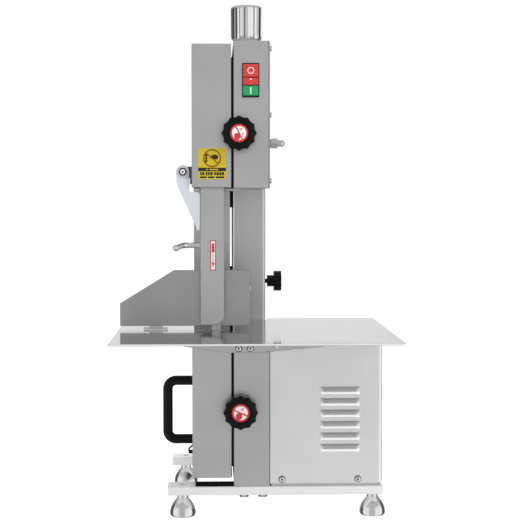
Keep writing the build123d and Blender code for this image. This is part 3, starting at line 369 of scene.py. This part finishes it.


# In the brushed metals, edge below 1 paints a darker shade line along every edge and above 1 a paler highlight
MATERIALS = {
    "satin_aluminium": brushed_steel("satin_aluminium", (0.92, 0.92, 0.925), 0.42, (60, 1, 60), 0.04, 0.55, 0.9),
    "chrome": polished_metal("chrome", (0.90, 0.90, 0.91), 0.06),
    "bolt_steel": polished_metal("bolt_steel", (0.80, 0.80, 0.81), 0.15),
    "casing_steel": brushed_steel("casing_steel", (0.71, 0.71, 0.715), 0.34, (60, 60, 1), edge=0.22, fold=1.7 * MM),
    "cover_steel": brushed_steel("cover_steel", (0.96, 0.96, 0.965), 0.36, (60, 60, 1), 0.05, 0.84),
    # table_steel paints a highlight along its edges: paler and less metallic there
    "table_steel": brushed_steel("table_steel", (0.71, 0.71, 0.715), 0.10, (60, 1, 1), 0.02, 1.0, 1.3, 0.3,
                                 glancing=0.78),
    "gauge_steel": brushed_steel("gauge_steel", (0.55, 0.55, 0.555), 0.30, (1, 60, 60), edge=0.25, fold=1.7 * MM),
    "dark_steel": painted_metal("dark_steel", (0.035, 0.035, 0.04), 0.35),
    "black_rubber": plastic("black_rubber", (0.003, 0.003, 0.003), 0.6, 0.0, 300.0, 0.2, 0.08),
    "black_plastic": plastic("black_plastic", (0.002, 0.002, 0.0025), 0.13, 0.0, 700.0, 0.03, 0.20),
    "white_plastic": plastic("white_plastic", (0.80, 0.80, 0.77), 0.4),
    "clear_plastic": milky_sheet("clear_plastic"),
    "motor_paint": painted_metal("motor_paint", (0.10, 0.12, 0.13), 0.45),
    "bearing_steel": polished_metal("bearing_steel", (0.66, 0.66, 0.67), 0.15),
    "shaft_steel": polished_metal("shaft_steel", (0.56, 0.56, 0.57), 0.20),
    "wheel_aluminium": brushed_steel("wheel_aluminium", (0.72, 0.72, 0.73), 0.30, (60, 1, 1)),
    "slide_iron": painted_metal("slide_iron", (0.08, 0.08, 0.085), 0.5),
    "spring_steel": polished_metal("spring_steel", (0.12, 0.13, 0.16), 0.30),
    "blade_steel": brushed_steel("blade_steel", (0.60, 0.60, 0.62), 0.28, (60, 60, 1)),
    "guide_brass": polished_metal("guide_brass", (0.56, 0.55, 0.52), 0.25),
    "switch_black": plastic("switch_black", (0.008, 0.008, 0.009), 0.45, gloss=0.25),
    "button_red": plastic("button_red", (0.58, 0.035, 0.035), 0.25, 0.4),
    "button_green": plastic("button_green", (0.01, 0.33, 0.10), 0.25, 0.4),
    "tray_black": painted_metal("tray_black", (0.012, 0.012, 0.012), 0.5),
    # hood_steel paints shade on what faces up and a highlight on what faces down
    "hood_steel": brushed_steel("hood_steel", (0.95, 0.95, 0.955), 0.30, (1, 60, 60), painted_top_shade=(0.70, 0.70, 0.705)),
    "painted_reflection_chrome": polished_metal("painted_reflection_chrome", (0.16, 0.16, 0.165), 0.10),
    "foot_chrome": polished_metal("foot_chrome", (0.84, 0.84, 0.85), 0.16, 0.03),
}
PRINT = {
    "print_yellow": printed("print_yellow", (0.56, 0.445, 0.002)),
    "print_black": printed("print_black", (0.015, 0.015, 0.015)),
    "print_orange": printed("print_orange", (0.30, 0.07, 0.01)),
    "print_red": printed("print_red", (0.62, 0.02, 0.03)),
    "print_white": printed("print_white", (0.86, 0.85, 0.82)),
}


def dress_cad_nodes():
    """Each CAD node takes the material of its slot; the materials themselves round the edges."""
    slots = {row["node"]: row["material_slot"] for row in frame["record"]["subparts"]}
    for name, node in NODES.items():
        node.data.materials.clear()
        node.data.materials.append(MATERIALS[slots[name]])


dress_cad_nodes()


# ---------------------------------------------------------------- building pieces
SHARP_DEGREES = 32.0


def low(node):
    """The smallest corner of a node's box."""
    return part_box(node)[0]


def high(node):
    """The largest corner of a node's box."""
    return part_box(node)[1]


def middle(node):
    """The middle of a node's box."""
    return (low(node) + high(node)) / 2


def new_piece(name, bm, material, body):
    """The mesh in bm as a piece that rides on body, smooth but for the sharp edges."""
    bmesh.ops.remove_doubles(bm, verts=bm.verts, dist=1e-6)
    bmesh.ops.recalc_face_normals(bm, faces=bm.faces)
    mesh = bpy.data.meshes.new(name)
    bm.to_mesh(mesh)
    bm.free()
    mesh.shade_smooth()
    mesh.set_sharp_from_angle(angle=math.radians(SHARP_DEGREES))
    mesh.materials.append(material)
    piece = bpy.data.objects.new(name, mesh)
    bpy.context.scene.collection.objects.link(piece)
    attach(piece, body)
    return piece


def turned(bm, profile, steps, place, radius_at=None):
    """A turned body about +Z from (radius, height) pairs; radius_at may flute it by angle and height."""
    rings = []
    for radius, height in profile:
        ring = []
        for step in range(steps):
            angle = 2 * math.pi * step / steps
            r = radius_at(angle, radius, height) if radius_at else radius
            ring.append(bm.verts.new(place @ Vector((r * math.cos(angle), r * math.sin(angle), height))))
        rings.append(ring)
    for lower, upper in zip(rings, rings[1:]):
        for step in range(steps):
            after = (step + 1) % steps
            bm.faces.new((lower[step], lower[after], upper[after], upper[step]))
    bm.faces.new(tuple(reversed(rings[0])))
    bm.faces.new(tuple(rings[-1]))


def plate(bm, outline, y_near, y_far):
    """A flat plate facing -Y, from its outline in X and Z."""
    near = [bm.verts.new((x, y_near, z)) for x, z in outline]
    far = [bm.verts.new((x, y_far, z)) for x, z in outline]
    bm.faces.new(near)
    bm.faces.new(tuple(reversed(far)))
    for i in range(len(outline)):
        j = (i + 1) % len(outline)
        bm.faces.new((near[i], far[i], far[j], near[j]))


def rectangle(x0, x1, z0, z1, corner=0.0):
    """A rectangle's outline, with corners of radius corner."""
    if corner <= 0:
        return [(x0, z0), (x1, z0), (x1, z1), (x0, z1)]
    points = []
    for cx, cz, start in (
        (x0 + corner, z0 + corner, 180), (x1 - corner, z0 + corner, 270),
        (x1 - corner, z1 - corner, 0), (x0 + corner, z1 - corner, 90),
    ):
        for step in range(5):
            angle = math.radians(start + 22.5 * step)
            points.append((cx + corner * math.cos(angle), cz + corner * math.sin(angle)))
    return points


def ring_plate(bm, x, z, inner, outer, y_near, y_far, steps=48):
    """A flat ring facing -Y."""
    loops = []
    for radius, y in ((inner, y_far), (inner, y_near), (outer, y_near), (outer, y_far)):
        loops.append([
            bm.verts.new((x + radius * math.cos(a), y, z + radius * math.sin(a)))
            for a in (2 * math.pi * step / steps for step in range(steps))
        ])
    for loop, following in zip(loops, loops[1:] + loops[:1]):
        for step in range(steps):
            after = (step + 1) % steps
            bm.faces.new((loop[step], loop[after], following[after], following[step]))


def circle(x, z, radius):
    """A circle's outline."""
    steps = 48
    return [
        (x + radius * math.cos(2 * math.pi * step / steps), z + radius * math.sin(2 * math.pi * step / steps))
        for step in range(steps)
    ]


def bar_outline(x, z, length, width, degrees):
    """A slanted bar's outline about (x, z)."""
    turn = math.radians(degrees)
    along = Vector((math.cos(turn), math.sin(turn)))
    across = Vector((-math.sin(turn), math.cos(turn)))
    corners = ((-1, -1), (1, -1), (1, 1), (-1, 1))
    points = [along * (length / 2 * a) + across * (width / 2 * c) for a, c in corners]
    return [(x + point.x, z + point.y) for point in points]


def facing_near(x, y, z):
    """Puts a body turned about +Z so that its top faces -Y, with its foot at (x, y, z)."""
    return Matrix.Translation((x, y, z)) @ Matrix.Rotation(math.pi / 2, 4, "X")


def print_layer(name, ink, body, face, back, front, outlines=(), rings=()):
    """One ink on body as thin plates and rings, back to front millimetres proud of the face at Y face."""
    bm = bmesh.new()
    y_near, y_far = face - front * MM, face - back * MM
    for x, z, inner, outer in rings:
        ring_plate(bm, x, z, inner, outer, y_near, y_far)
    for outline in outlines:
        plate(bm, outline, y_near, y_far)
    new_piece(name, bm, PRINT[ink], body)


# ---------------------------------------------------------------- clamp knobs
def clamp_knob(side, slash_degrees):
    """A scalloped black knob with a raised rim, a metal collar and a printed disc in its recess."""
    node = f"{side}_clamp_knob"
    centre = middle(node)
    radius = (high(node).z - low(node).z) / 2
    depth = high(node).y - low(node).y
    place = facing_near(centre.x, high(node).y, centre.z)
    lobes = 12
    scallop = 2.9 * MM

    def scalloped(angle, r, height):
        share = max(0.0, (r / radius - 0.80) / 0.20)
        return r - share * scallop * (math.sqrt(math.sin(angle * lobes / 2) ** 2 + 0.05) - 0.22)

    bm = bmesh.new()
    rim = 0.55 * radius
    profile = [
        (0.42 * radius, 0.20 * depth), (0.80 * radius, 0.21 * depth), (0.93 * radius, 0.23 * depth),
        (0.985 * radius, 0.28 * depth), (radius, 0.36 * depth), (radius, 0.78 * depth),
        (0.985 * radius, 0.86 * depth), (0.94 * radius, 0.92 * depth), (0.86 * radius, 0.955 * depth),
        (0.78 * radius, 0.955 * depth), (0.76 * radius, 0.975 * depth), (0.72 * radius, depth),
        (rim + 1.2 * MM, depth), (rim + 0.3 * MM, 0.985 * depth), (rim, 0.95 * depth), (rim, 0.93 * depth),
    ]
    turned(bm, profile, 240, place, scalloped)
    body = new_piece(f"{node}_head", bm, MATERIALS["black_plastic"], node)
    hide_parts(node)

    bm = bmesh.new()
    collar = [
        (0.30 * radius, 0.0), (0.34 * radius, 0.4 * MM), (0.36 * radius, 1.2 * MM),
        (0.36 * radius, 0.16 * depth), (0.43 * radius, 0.20 * depth), (0.43 * radius, 0.22 * depth),
    ]
    turned(bm, collar, 64, place)
    new_piece(f"{node}_collar", bm, MATERIALS["chrome"], node)

    face = high(node).y - 0.93 * depth
    x, z = centre.x, centre.z
    disc_radius, ring_inner = 0.51 * radius, 0.40 * radius
    slash = bar_outline(x, z, 0.86 * radius, 0.07 * radius, slash_degrees)
    print_layer(f"{node}_disc", "print_white", node, face, 0.0, 0.35, [circle(x, z, disc_radius)])
    print_layer(f"{node}_ring", "print_red", node, face, 0.35, 0.5, rings=[(x, z, ring_inner, disc_radius)])
    print_layer(f"{node}_slash", "print_red", node, face, 0.5, 0.6, [slash])
    # A generic drop and two specks stand for the pictogram
    drop = []
    for step in range(28):
        angle = 2 * math.pi * step / 28
        swell = 0.17 * radius * (1 - 0.45 * math.cos(angle - math.pi / 2))
        drop.append((x - 0.10 * radius + swell * math.cos(angle), z - 0.10 * radius + 1.15 * swell * math.sin(angle)))
    upper_speck = bar_outline(x + 0.10 * radius, z + 0.22 * radius, 0.20 * radius, 0.06 * radius, 40)
    lower_speck = bar_outline(x + 0.21 * radius, z - 0.06 * radius, 0.15 * radius, 0.05 * radius, 60)
    print_layer(f"{node}_drop", "print_red", node, face, 0.35, 0.45, [drop, upper_speck, lower_speck])


clamp_knob("upper", -62.0)
clamp_knob("lower", -24.0)


# ---------------------------------------------------------------- tension knob
def tension_knob():
    """A polished knob with ten deep flutes, a domed rim and a turned face."""
    node = "tension_knob"
    centre = middle(node)
    radius = (high(node).x - low(node).x) / 2
    bottom = low(node).z
    height = high(node).z - bottom
    flutes = 10
    cutter = 6.7 * MM
    reach = radius + 3.5 * MM

    def fluted(angle, r, z):
        """Each flute is a round groove that fades in above the foot and out at the rim."""
        from_rim = min(1.0, max(0.0, (r / radius - 0.72) / 0.2))
        from_foot = min(1.0, max(0.0, (z - 0.10 * height) / (0.08 * height)))
        share = from_rim * from_foot
        turn = (angle * flutes / (2 * math.pi)) % 1.0 - 0.5
        off = turn * 2 * math.pi / flutes
        across = reach * math.sin(off)
        if abs(across) >= cutter:
            return r
        groove = reach * math.cos(off) - math.sqrt(cutter ** 2 - across ** 2)
        return r - share * max(0.0, radius - groove)

    profile = [
        (0.70 * radius, 0.0), (0.72 * radius, 0.02 * height), (0.80 * radius, 0.06 * height),
        (0.93 * radius, 0.12 * height), (0.975 * radius, 0.17 * height), (0.985 * radius, 0.24 * height),
        (0.99 * radius, 0.40 * height), (0.995 * radius, 0.60 * height), (radius, 0.80 * height),
        (radius, 0.90 * height), (0.99 * radius, 0.935 * height), (0.96 * radius, 0.965 * height),
        (0.91 * radius, 0.985 * height), (0.84 * radius, 0.995 * height), (0.74 * radius, height),
        (0.50 * radius, height), (0.48 * radius, 0.99 * height), (0.20 * radius, 0.985 * height),
    ]
    bm = bmesh.new()
    turned(bm, profile, 360, Matrix.Translation((centre.x, centre.y, bottom)), fluted)
    # Painted reflection: one flank of each flute takes a darker chrome that stands for the dark side of the room
    for face in bm.faces:
        spot = face.calc_center_median() - Vector((centre.x, centre.y, bottom))
        flute = (math.atan2(spot.y, spot.x) * flutes / (2 * math.pi)) % 1.0
        if 0.10 * height < spot.z < 0.95 * height and 0.20 < flute < 0.36:
            face.material_index = 1
    piece = new_piece("tension_knob_fluted", bm, MATERIALS["chrome"], node)
    piece.data.materials.append(MATERIALS["painted_reflection_chrome"])
    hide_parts(node)


tension_knob()


# ---------------------------------------------------------------- feet
def feet():
    """Four bell-shaped levelling feet with a neck, a shoulder line and a black pad under each."""
    box_low, box_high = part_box("feet")
    radius = 21.25 * MM
    neck = 9.0 * MM
    top = low("base_bars").z
    bells, pads = bmesh.new(), bmesh.new()
    profile = [
        (20.2, 0.8), (20.9, 1.6), (21.2, 3.2), (21.25, 7.0), (20.9, 9.6), (20.0, 13.0), (18.6, 16.5),
        (16.8, 19.8), (14.8, 22.8), (12.6, 25.6), (10.8, 27.6), (9.8, 28.9), (9.6, 29.3), (9.1, 29.5), (9.0, 30.2),
    ]
    for x in (box_low.x + radius, box_high.x - radius):
        for y in (box_low.y + radius, box_high.y - radius):
            place = Matrix.Translation((x, y, 0))
            turned(bells, [(r * MM, z * MM) for r, z in profile] + [(neck, top)], 96, place)
            turned(pads, [(17.5 * MM, 0.0), (19.4 * MM, 0.1 * MM), (19.8 * MM, 0.8 * MM)], 64, place)
    piece = new_piece("bell_feet", bells, MATERIALS["foot_chrome"], "frame")
    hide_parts("feet")
    new_piece("foot_pads", pads, MATERIALS["black_rubber"], "frame")


# ---------------------------------------------------------------- screw heads
def near_heads(node, beyond, reach):
    """Each head's middle, radius and near face: the foremost points behind y beyond, grouped within reach."""
    place = NODES[node].matrix_world
    points = [place @ vertex.co for vertex in NODES[node].data.vertices]
    points = [point for point in points if point.y > beyond]
    near = min(point.y for point in points)
    groups = []
    for point in points:
        if point.y > near + 0.05 * MM:
            continue
        for group in groups:
            if (group[0] - point).length < reach:
                group.append(point)
                break
        else:
            groups.append([point])
    heads = []
    for group in groups:
        xs = [p.x for p in group]
        zs = [p.z for p in group]
        heads.append(((min(xs) + max(xs)) / 2, (min(zs) + max(zs)) / 2, (max(xs) - min(xs)) / 2))
    return heads, near


def screw_heads(node, body, beyond=-1.0, reach=20 * MM):
    """On each head that faces the operator: a dark ring of painted shade round the rim, a bright dome, and a dark
    cross painted as the shade in its cross recess.
    """
    heads, near = near_heads(node, beyond, reach)
    head_height = 2.4 * MM
    shade_ring_rim = 0.9 * MM
    painted_shade_rings, domes, painted_recess_shade = bmesh.new(), bmesh.new(), bmesh.new()
    for x, z, radius in heads:
        place = facing_near(x, near + head_height, z)
        dark_ring = [
            (radius + shade_ring_rim, 0.0), (radius + shade_ring_rim, 1.0 * MM), (radius - 0.2 * MM, 1.4 * MM),
        ]
        dome = [
            (0.90 * radius, 2.3 * MM), (0.84 * radius, 2.7 * MM), (0.66 * radius, 3.1 * MM),
            (0.36 * radius, 3.4 * MM), (0.10 * radius, 3.5 * MM),
        ]
        turned(painted_shade_rings, dark_ring, 40, place)
        turned(domes, dome, 40, place)
        for degrees in (20, 110):
            slot = bar_outline(x, z, 1.05 * radius, 0.24 * radius, degrees)
            plate(painted_recess_shade, slot, near - 1.2 * MM, near - 0.2 * MM)
    # Painted shade: the dark rings round the heads and the dark crosses in their recesses
    new_piece(f"{node}_washers", painted_shade_rings, MATERIALS["black_rubber"], body)
    new_piece(f"{node}_domes", domes, MATERIALS["chrome"], body)
    new_piece(f"{node}_recesses", painted_recess_shade, MATERIALS["black_rubber"], body)


# ---------------------------------------------------------------- louvres
def louvre_hoods():
    """A rounded skin over each louvre: steep at the top, fullest low down, quarter-round at both ends."""
    left, right = 109.0 * MM, 173.6 * MM
    count, pitch, middle_z = 6, 18.9 * MM, 161.6 * MM
    half_slot, overlap = 5.25 * MM, 1.5 * MM
    height, depth, crest, end = 12.4 * MM, 5.4 * MM, 8.5 * MM, 6.5 * MM
    cover_face = low("motor_cover").y + 4.0 * MM
    skin = 0.4 * MM
    columns, rows = 28, 12
    bm = bmesh.new()
    for index in range(count):
        top = middle_z + pitch * ((count - 1) / 2 - index) + half_slot + overlap
        layers = []
        for inset in (0.0, skin):
            grid = []
            for i in range(columns + 1):
                share = (1 - math.cos(math.pi * i / columns)) / 2
                x = left + inset + (right - left - 2 * inset) * share
                edge = min(1.0, min(x - left - inset, right - inset - x) / end)
                swell = math.sqrt(max(0.0, 1 - (1 - edge) ** 2))
                column = []
                for j in range(rows + 1):
                    down = height * (1 - math.cos(math.pi / 2 * j / rows))
                    if down < crest:
                        rise = math.sqrt(1 - ((crest - down) / crest) ** 2)
                    else:
                        rise = math.sqrt(1 - (0.75 * (down - crest) / (height - crest)) ** 2)
                    y = cover_face - (depth - inset) * swell * rise
                    column.append(bm.verts.new((x, y, top - down)))
                grid.append(column)
            layers.append(grid)
        outer, inner = layers
        for i in range(columns):
            for j in range(rows):
                bm.faces.new((outer[i][j], outer[i][j + 1], outer[i + 1][j + 1], outer[i + 1][j]))
                bm.faces.new((inner[i][j], inner[i + 1][j], inner[i + 1][j + 1], inner[i][j + 1]))
            bm.faces.new((outer[i][0], outer[i + 1][0], inner[i + 1][0], inner[i][0]))
            bm.faces.new((outer[i][rows], inner[i][rows], inner[i + 1][rows], outer[i + 1][rows]))
        for i in (0, columns):
            for j in range(rows):
                bm.faces.new((outer[i][j], inner[i][j], inner[i][j + 1], outer[i][j + 1]))
    new_piece("louvre_hoods", bm, MATERIALS["hood_steel"], "frame")


# ---------------------------------------------------------------- table edge
def table_edge():
    """A rounded bead along the table's front edge, in paler satin aluminium: real rounding with a painted highlight
    on the rim.
    """
    table_low, table_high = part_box("table")
    bead = 1.1 * MM
    bm = bmesh.new()
    rows = []
    sides = 10
    for x in (table_low.x + bead, table_high.x - bead):
        ring = []
        for step in range(sides):
            angle = 2 * math.pi * step / sides
            y = table_low.y + 0.6 * MM + bead * math.cos(angle)
            z = table_high.z - 1.5 * MM + 1.2 * bead * math.sin(angle)
            ring.append(bm.verts.new((x, y, z)))
        rows.append(ring)
    for step in range(sides):
        after = (step + 1) % sides
        bm.faces.new((rows[0][step], rows[0][after], rows[1][after], rows[1][step]))
    bm.faces.new(tuple(reversed(rows[0])))
    bm.faces.new(tuple(rows[1]))
    new_piece("table_edge_bead", bm, MATERIALS["satin_aluminium"], "frame")


# ---------------------------------------------------------------- cover seam
def cover_seam():
    """The dark joint between the lower housing and the motor cover."""
    cover_low, cover_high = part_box("motor_cover")
    near = low("lower_housing").y
    bm = bmesh.new()
    outline = rectangle(cover_low.x - 0.5 * MM, cover_low.x + 0.4 * MM, cover_low.z, cover_high.z)
    plate(bm, outline, near - 0.25 * MM, near + 0.3 * MM)
    new_piece("cover_seam", bm, MATERIALS["black_rubber"], "frame")


# ---------------------------------------------------------------- swing guard pivot
def guard_pivot():
    """A dark washer, a pale nut and a dark stud end on the swing guard's bolt."""
    near = low("swing_guard_bolt").y
    centre = middle("swing_guard_bolt")
    radius = (high("swing_guard_bolt").x - low("swing_guard_bolt").x) / 2
    dark_ring, nut, stud = bmesh.new(), bmesh.new(), bmesh.new()
    ring_plate(dark_ring, centre.x, centre.z, 0.66 * radius, radius + 0.4 * MM, near - 0.5 * MM, near + 0.6 * MM, 6)
    turned(nut, [(0.64 * radius, 0.0), (0.64 * radius, 0.6 * MM), (0.5 * radius, 0.9 * MM)], 32,
           facing_near(centre.x, near + 0.1 * MM, centre.z))
    turned(stud, [(0.24 * radius, 0.0), (0.24 * radius, 0.5 * MM), (0.14 * radius, 0.7 * MM)], 24,
           facing_near(centre.x, near - 0.7 * MM, centre.z))
    new_piece("guard_pivot_washer", dark_ring, MATERIALS["black_rubber"], "door")
    new_piece("guard_pivot_nut", nut, MATERIALS["white_plastic"], "door")
    new_piece("guard_pivot_stud", stud, MATERIALS["black_rubber"], "door")


# ---------------------------------------------------------------- switch
def switch_marks():
    """A ring on the stop button, a bar on the start button and a small lamp between them."""
    stop, start = middle("stop_button"), middle("start_button")
    near = low("stop_button").y
    bm = bmesh.new()
    ring_plate(bm, stop.x, stop.z, 4.3 * MM, 5.4 * MM, near - 0.2 * MM, near + 0.1 * MM)
    new_piece("stop_mark", bm, PRINT["print_white"], "stop_button")
    near = low("start_button").y
    bm = bmesh.new()
    bar_half_width, bar_half_height = 0.9 * MM, 5.4 * MM
    bar = rectangle(start.x - bar_half_width, start.x + bar_half_width, start.z - bar_half_height,
                    start.z + bar_half_height, 0.4 * MM)
    plate(bm, bar, near - 0.2 * MM, near + 0.1 * MM)
    new_piece("start_mark", bm, PRINT["print_white"], "start_button")
    left, right = low("stop_button").x, high("stop_button").x
    bottom, top = high("start_button").z + 1.0 * MM, low("stop_button").z - 1.0 * MM
    housing = low("switch_housing").y
    bm = bmesh.new()
    plate(bm, rectangle(left, right, bottom, top, 0.8 * MM), housing - 0.9 * MM, housing + 0.2 * MM)
    new_piece("switch_window", bm, MATERIALS["button_red"], "frame")
    bm = bmesh.new()
    turned(bm, [(1.3 * MM, 0.0), (1.3 * MM, 0.2 * MM), (1.0 * MM, 0.45 * MM), (0.5 * MM, 0.6 * MM)], 24,
           facing_near(stop.x, housing - 0.8 * MM, top - 2.6 * MM))
    new_piece("switch_lamp", bm, PRINT["print_white"], "frame")


# ---------------------------------------------------------------- labels
def door_label():
    """A yellow label of generic shapes: a ring with a blade and a wedge, a band and plain bars."""
    face = low("door").y
    left = low("door").x + 10.5 * MM
    right = left + 45.1 * MM
    top = low("upper_clamp_knob").z + 5.0 * MM
    bottom = top - 50.5 * MM
    width, x = right - left, (left + right) / 2
    ring_z = top - 16.2 * MM
    band_top = bottom + 18.8 * MM

    def layer(name, ink, back, front, outlines=(), rings=()):
        print_layer(name, ink, "door", face, back, front, outlines, rings)

    def bars(shares, bar_bottom, bar_top):
        """Bars between the given shares of the label's width."""
        return [rectangle(left + start * width, left + stop * width, bar_bottom, bar_top) for start, stop in shares]

    layer("label_field", "print_yellow", 0.0, 0.25, [rectangle(left, right, bottom, top, 1.0 * MM)])
    layer("label_ring", "print_orange", 0.25, 0.35, rings=[(x, ring_z, 12.4 * MM, 14.7 * MM)])

    teeth_x = x - 8.6 * MM
    band_saw = rectangle(x - 11.0 * MM, teeth_x, ring_z - 7.0 * MM, ring_z + 7.0 * MM)
    wedge = [
        (x - 4.5 * MM, ring_z + 1.0 * MM), (x + 2.0 * MM, ring_z - 2.2 * MM), (x + 9.0 * MM, ring_z - 1.5 * MM),
        (x + 10.0 * MM, ring_z + 3.2 * MM), (x + 6.0 * MM, ring_z + 6.2 * MM), (x - 1.0 * MM, ring_z + 4.6 * MM),
    ]
    picture = [band_saw, wedge]
    for step in range(3):
        tooth = ring_z + (4.5 - 4.5 * step) * MM
        picture.append([(teeth_x, tooth + 1.4 * MM), (teeth_x, tooth - 1.4 * MM), (x - 6.4 * MM, tooth)])
    layer("label_picture", "print_black", 0.25, 0.35, picture)
    layer("label_slash", "print_orange", 0.35, 0.42, [bar_outline(x, ring_z, 26.0 * MM, 1.8 * MM, -42)])
    layer("label_band", "print_black", 0.25, 0.35, [rectangle(left, right, band_top - 5.6 * MM, band_top)])

    band_shares = ((0.28, 0.34), (0.40, 0.72))
    upper_shares = (
        (0.07, 0.12), (0.14, 0.22), (0.27, 0.33), (0.35, 0.41), (0.43, 0.52), (0.57, 0.64), (0.66, 0.74),
        (0.76, 0.83), (0.85, 0.93),
    )
    lower_shares = ((0.06, 0.30), (0.35, 0.58), (0.63, 0.94))
    layer("label_band_bars", "print_yellow", 0.35, 0.42, bars(band_shares, band_top - 3.7 * MM, band_top - 1.9 * MM))
    layer("label_bars", "print_black", 0.25, 0.35,
          bars(upper_shares, bottom + 6.6 * MM, bottom + 11.8 * MM)
          + bars(lower_shares, bottom + 1.9 * MM, bottom + 4.8 * MM))


def guard_label():
    """A narrow white label with a red border, a red bar and a small red pointer."""
    face = low("guard_plate").y
    left = low("guard_plate").x + 16.0 * MM
    right = left + 9.4 * MM
    top = low("guard_handle").z + 16.7 * MM
    bottom = top - 49.6 * MM
    edge = 1.5 * MM
    x = (left + right) / 2
    border = rectangle(left, right, bottom, top, 0.6 * MM)
    field = rectangle(left + edge, right - edge, bottom + edge, top - edge)
    bar = rectangle(x - 2.1 * MM, x + 2.1 * MM, top - 20.0 * MM, top - 5.0 * MM, 0.5 * MM)
    line = rectangle(x - 0.55 * MM, x + 0.55 * MM, bottom + 14.0 * MM, top - 22.0 * MM)
    pointer_z = bottom + 13.0 * MM
    pointer = [(x, bottom + 5.0 * MM), (x + 2.3 * MM, pointer_z), (x - 2.3 * MM, pointer_z)]
    print_layer("guard_label_border", "print_red", "blade_guard", face, 0.0, 0.2, [border])
    print_layer("guard_label_field", "print_white", "blade_guard", face, 0.2, 0.3, [field])
    print_layer("guard_label_marks", "print_red", "blade_guard", face, 0.3, 0.38, [bar, line, pointer])


# ---------------------------------------------------------------- toothed blade
def toothed_blade():
    """The endless blade as a band with a hooked tooth every quarter inch along its near edge."""
    node = "blade"
    blade_low, blade_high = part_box(node)
    reach = (blade_high.y - blade_low.y) / 2
    centre_y = (blade_low.y + blade_high.y) / 2
    lower_z, upper_z = blade_low.z + reach, blade_high.z - reach
    thickness = 0.5 * MM
    straight = upper_z - lower_z
    around = math.pi * (reach - thickness / 2)
    length = 2 * (straight + around)
    teeth = round(length / (6.35 * MM))
    gullet = 2.6 * MM
    tooth_set = 0.18 * MM
    band_edge = blade_low.x + gullet + 0.4 * MM

    def spot(distance, offset):
        """The point on the loop at this distance, offset outwards."""
        r = reach - thickness / 2 + offset
        if distance < straight:
            return centre_y - r, lower_z + distance
        distance -= straight
        if distance < around:
            angle = math.pi * distance / around
            return centre_y - r * math.cos(angle), upper_z + r * math.sin(angle)
        distance -= around
        if distance < straight:
            return centre_y + r, upper_z - distance
        angle = math.pi * (distance - straight) / around
        return centre_y + r * math.cos(angle), lower_z - r * math.sin(angle)

    bm = bmesh.new()
    rows = []
    for tooth in range(teeth):
        for share, cut in ((0.0, 0.0), (0.12, 0.85), (0.30, 1.0), (0.55, 0.72)):
            distance = length * (tooth + share) / teeth
            set_out = (tooth_set if tooth % 2 else -tooth_set) * (1 - cut)
            y_out, z_out = spot(distance, thickness / 2)
            y_in, z_in = spot(distance, -thickness / 2)
            tip = blade_low.x + cut * gullet
            y_set, z_set = spot(distance, set_out)
            y_tip, z_tip = (y_set, z_set) if cut == 0 else spot(distance, 0.0)
            rows.append([
                bm.verts.new((tip, y_tip, z_tip)),
                bm.verts.new((band_edge, y_out, z_out)),
                bm.verts.new((blade_high.x, y_out, z_out)),
                bm.verts.new((blade_high.x, y_in, z_in)),
                bm.verts.new((band_edge, y_in, z_in)),
            ])
    for row, following in zip(rows, rows[1:] + rows[:1]):
        for i in range(5):
            j = (i + 1) % 5
            bm.faces.new((row[i], row[j], following[j], following[i]))
    piece = new_piece("toothed_blade", bm, MATERIALS["blade_steel"], "frame")
    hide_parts(node)


feet()
screw_heads("cover_screws", "frame")
screw_heads("table_bolts", "frame", low("table").y + 60 * MM, 10 * MM)
table_edge()
cover_seam()
louvre_hoods()
guard_pivot()
switch_marks()
door_label()
guard_label()
toothed_blade()
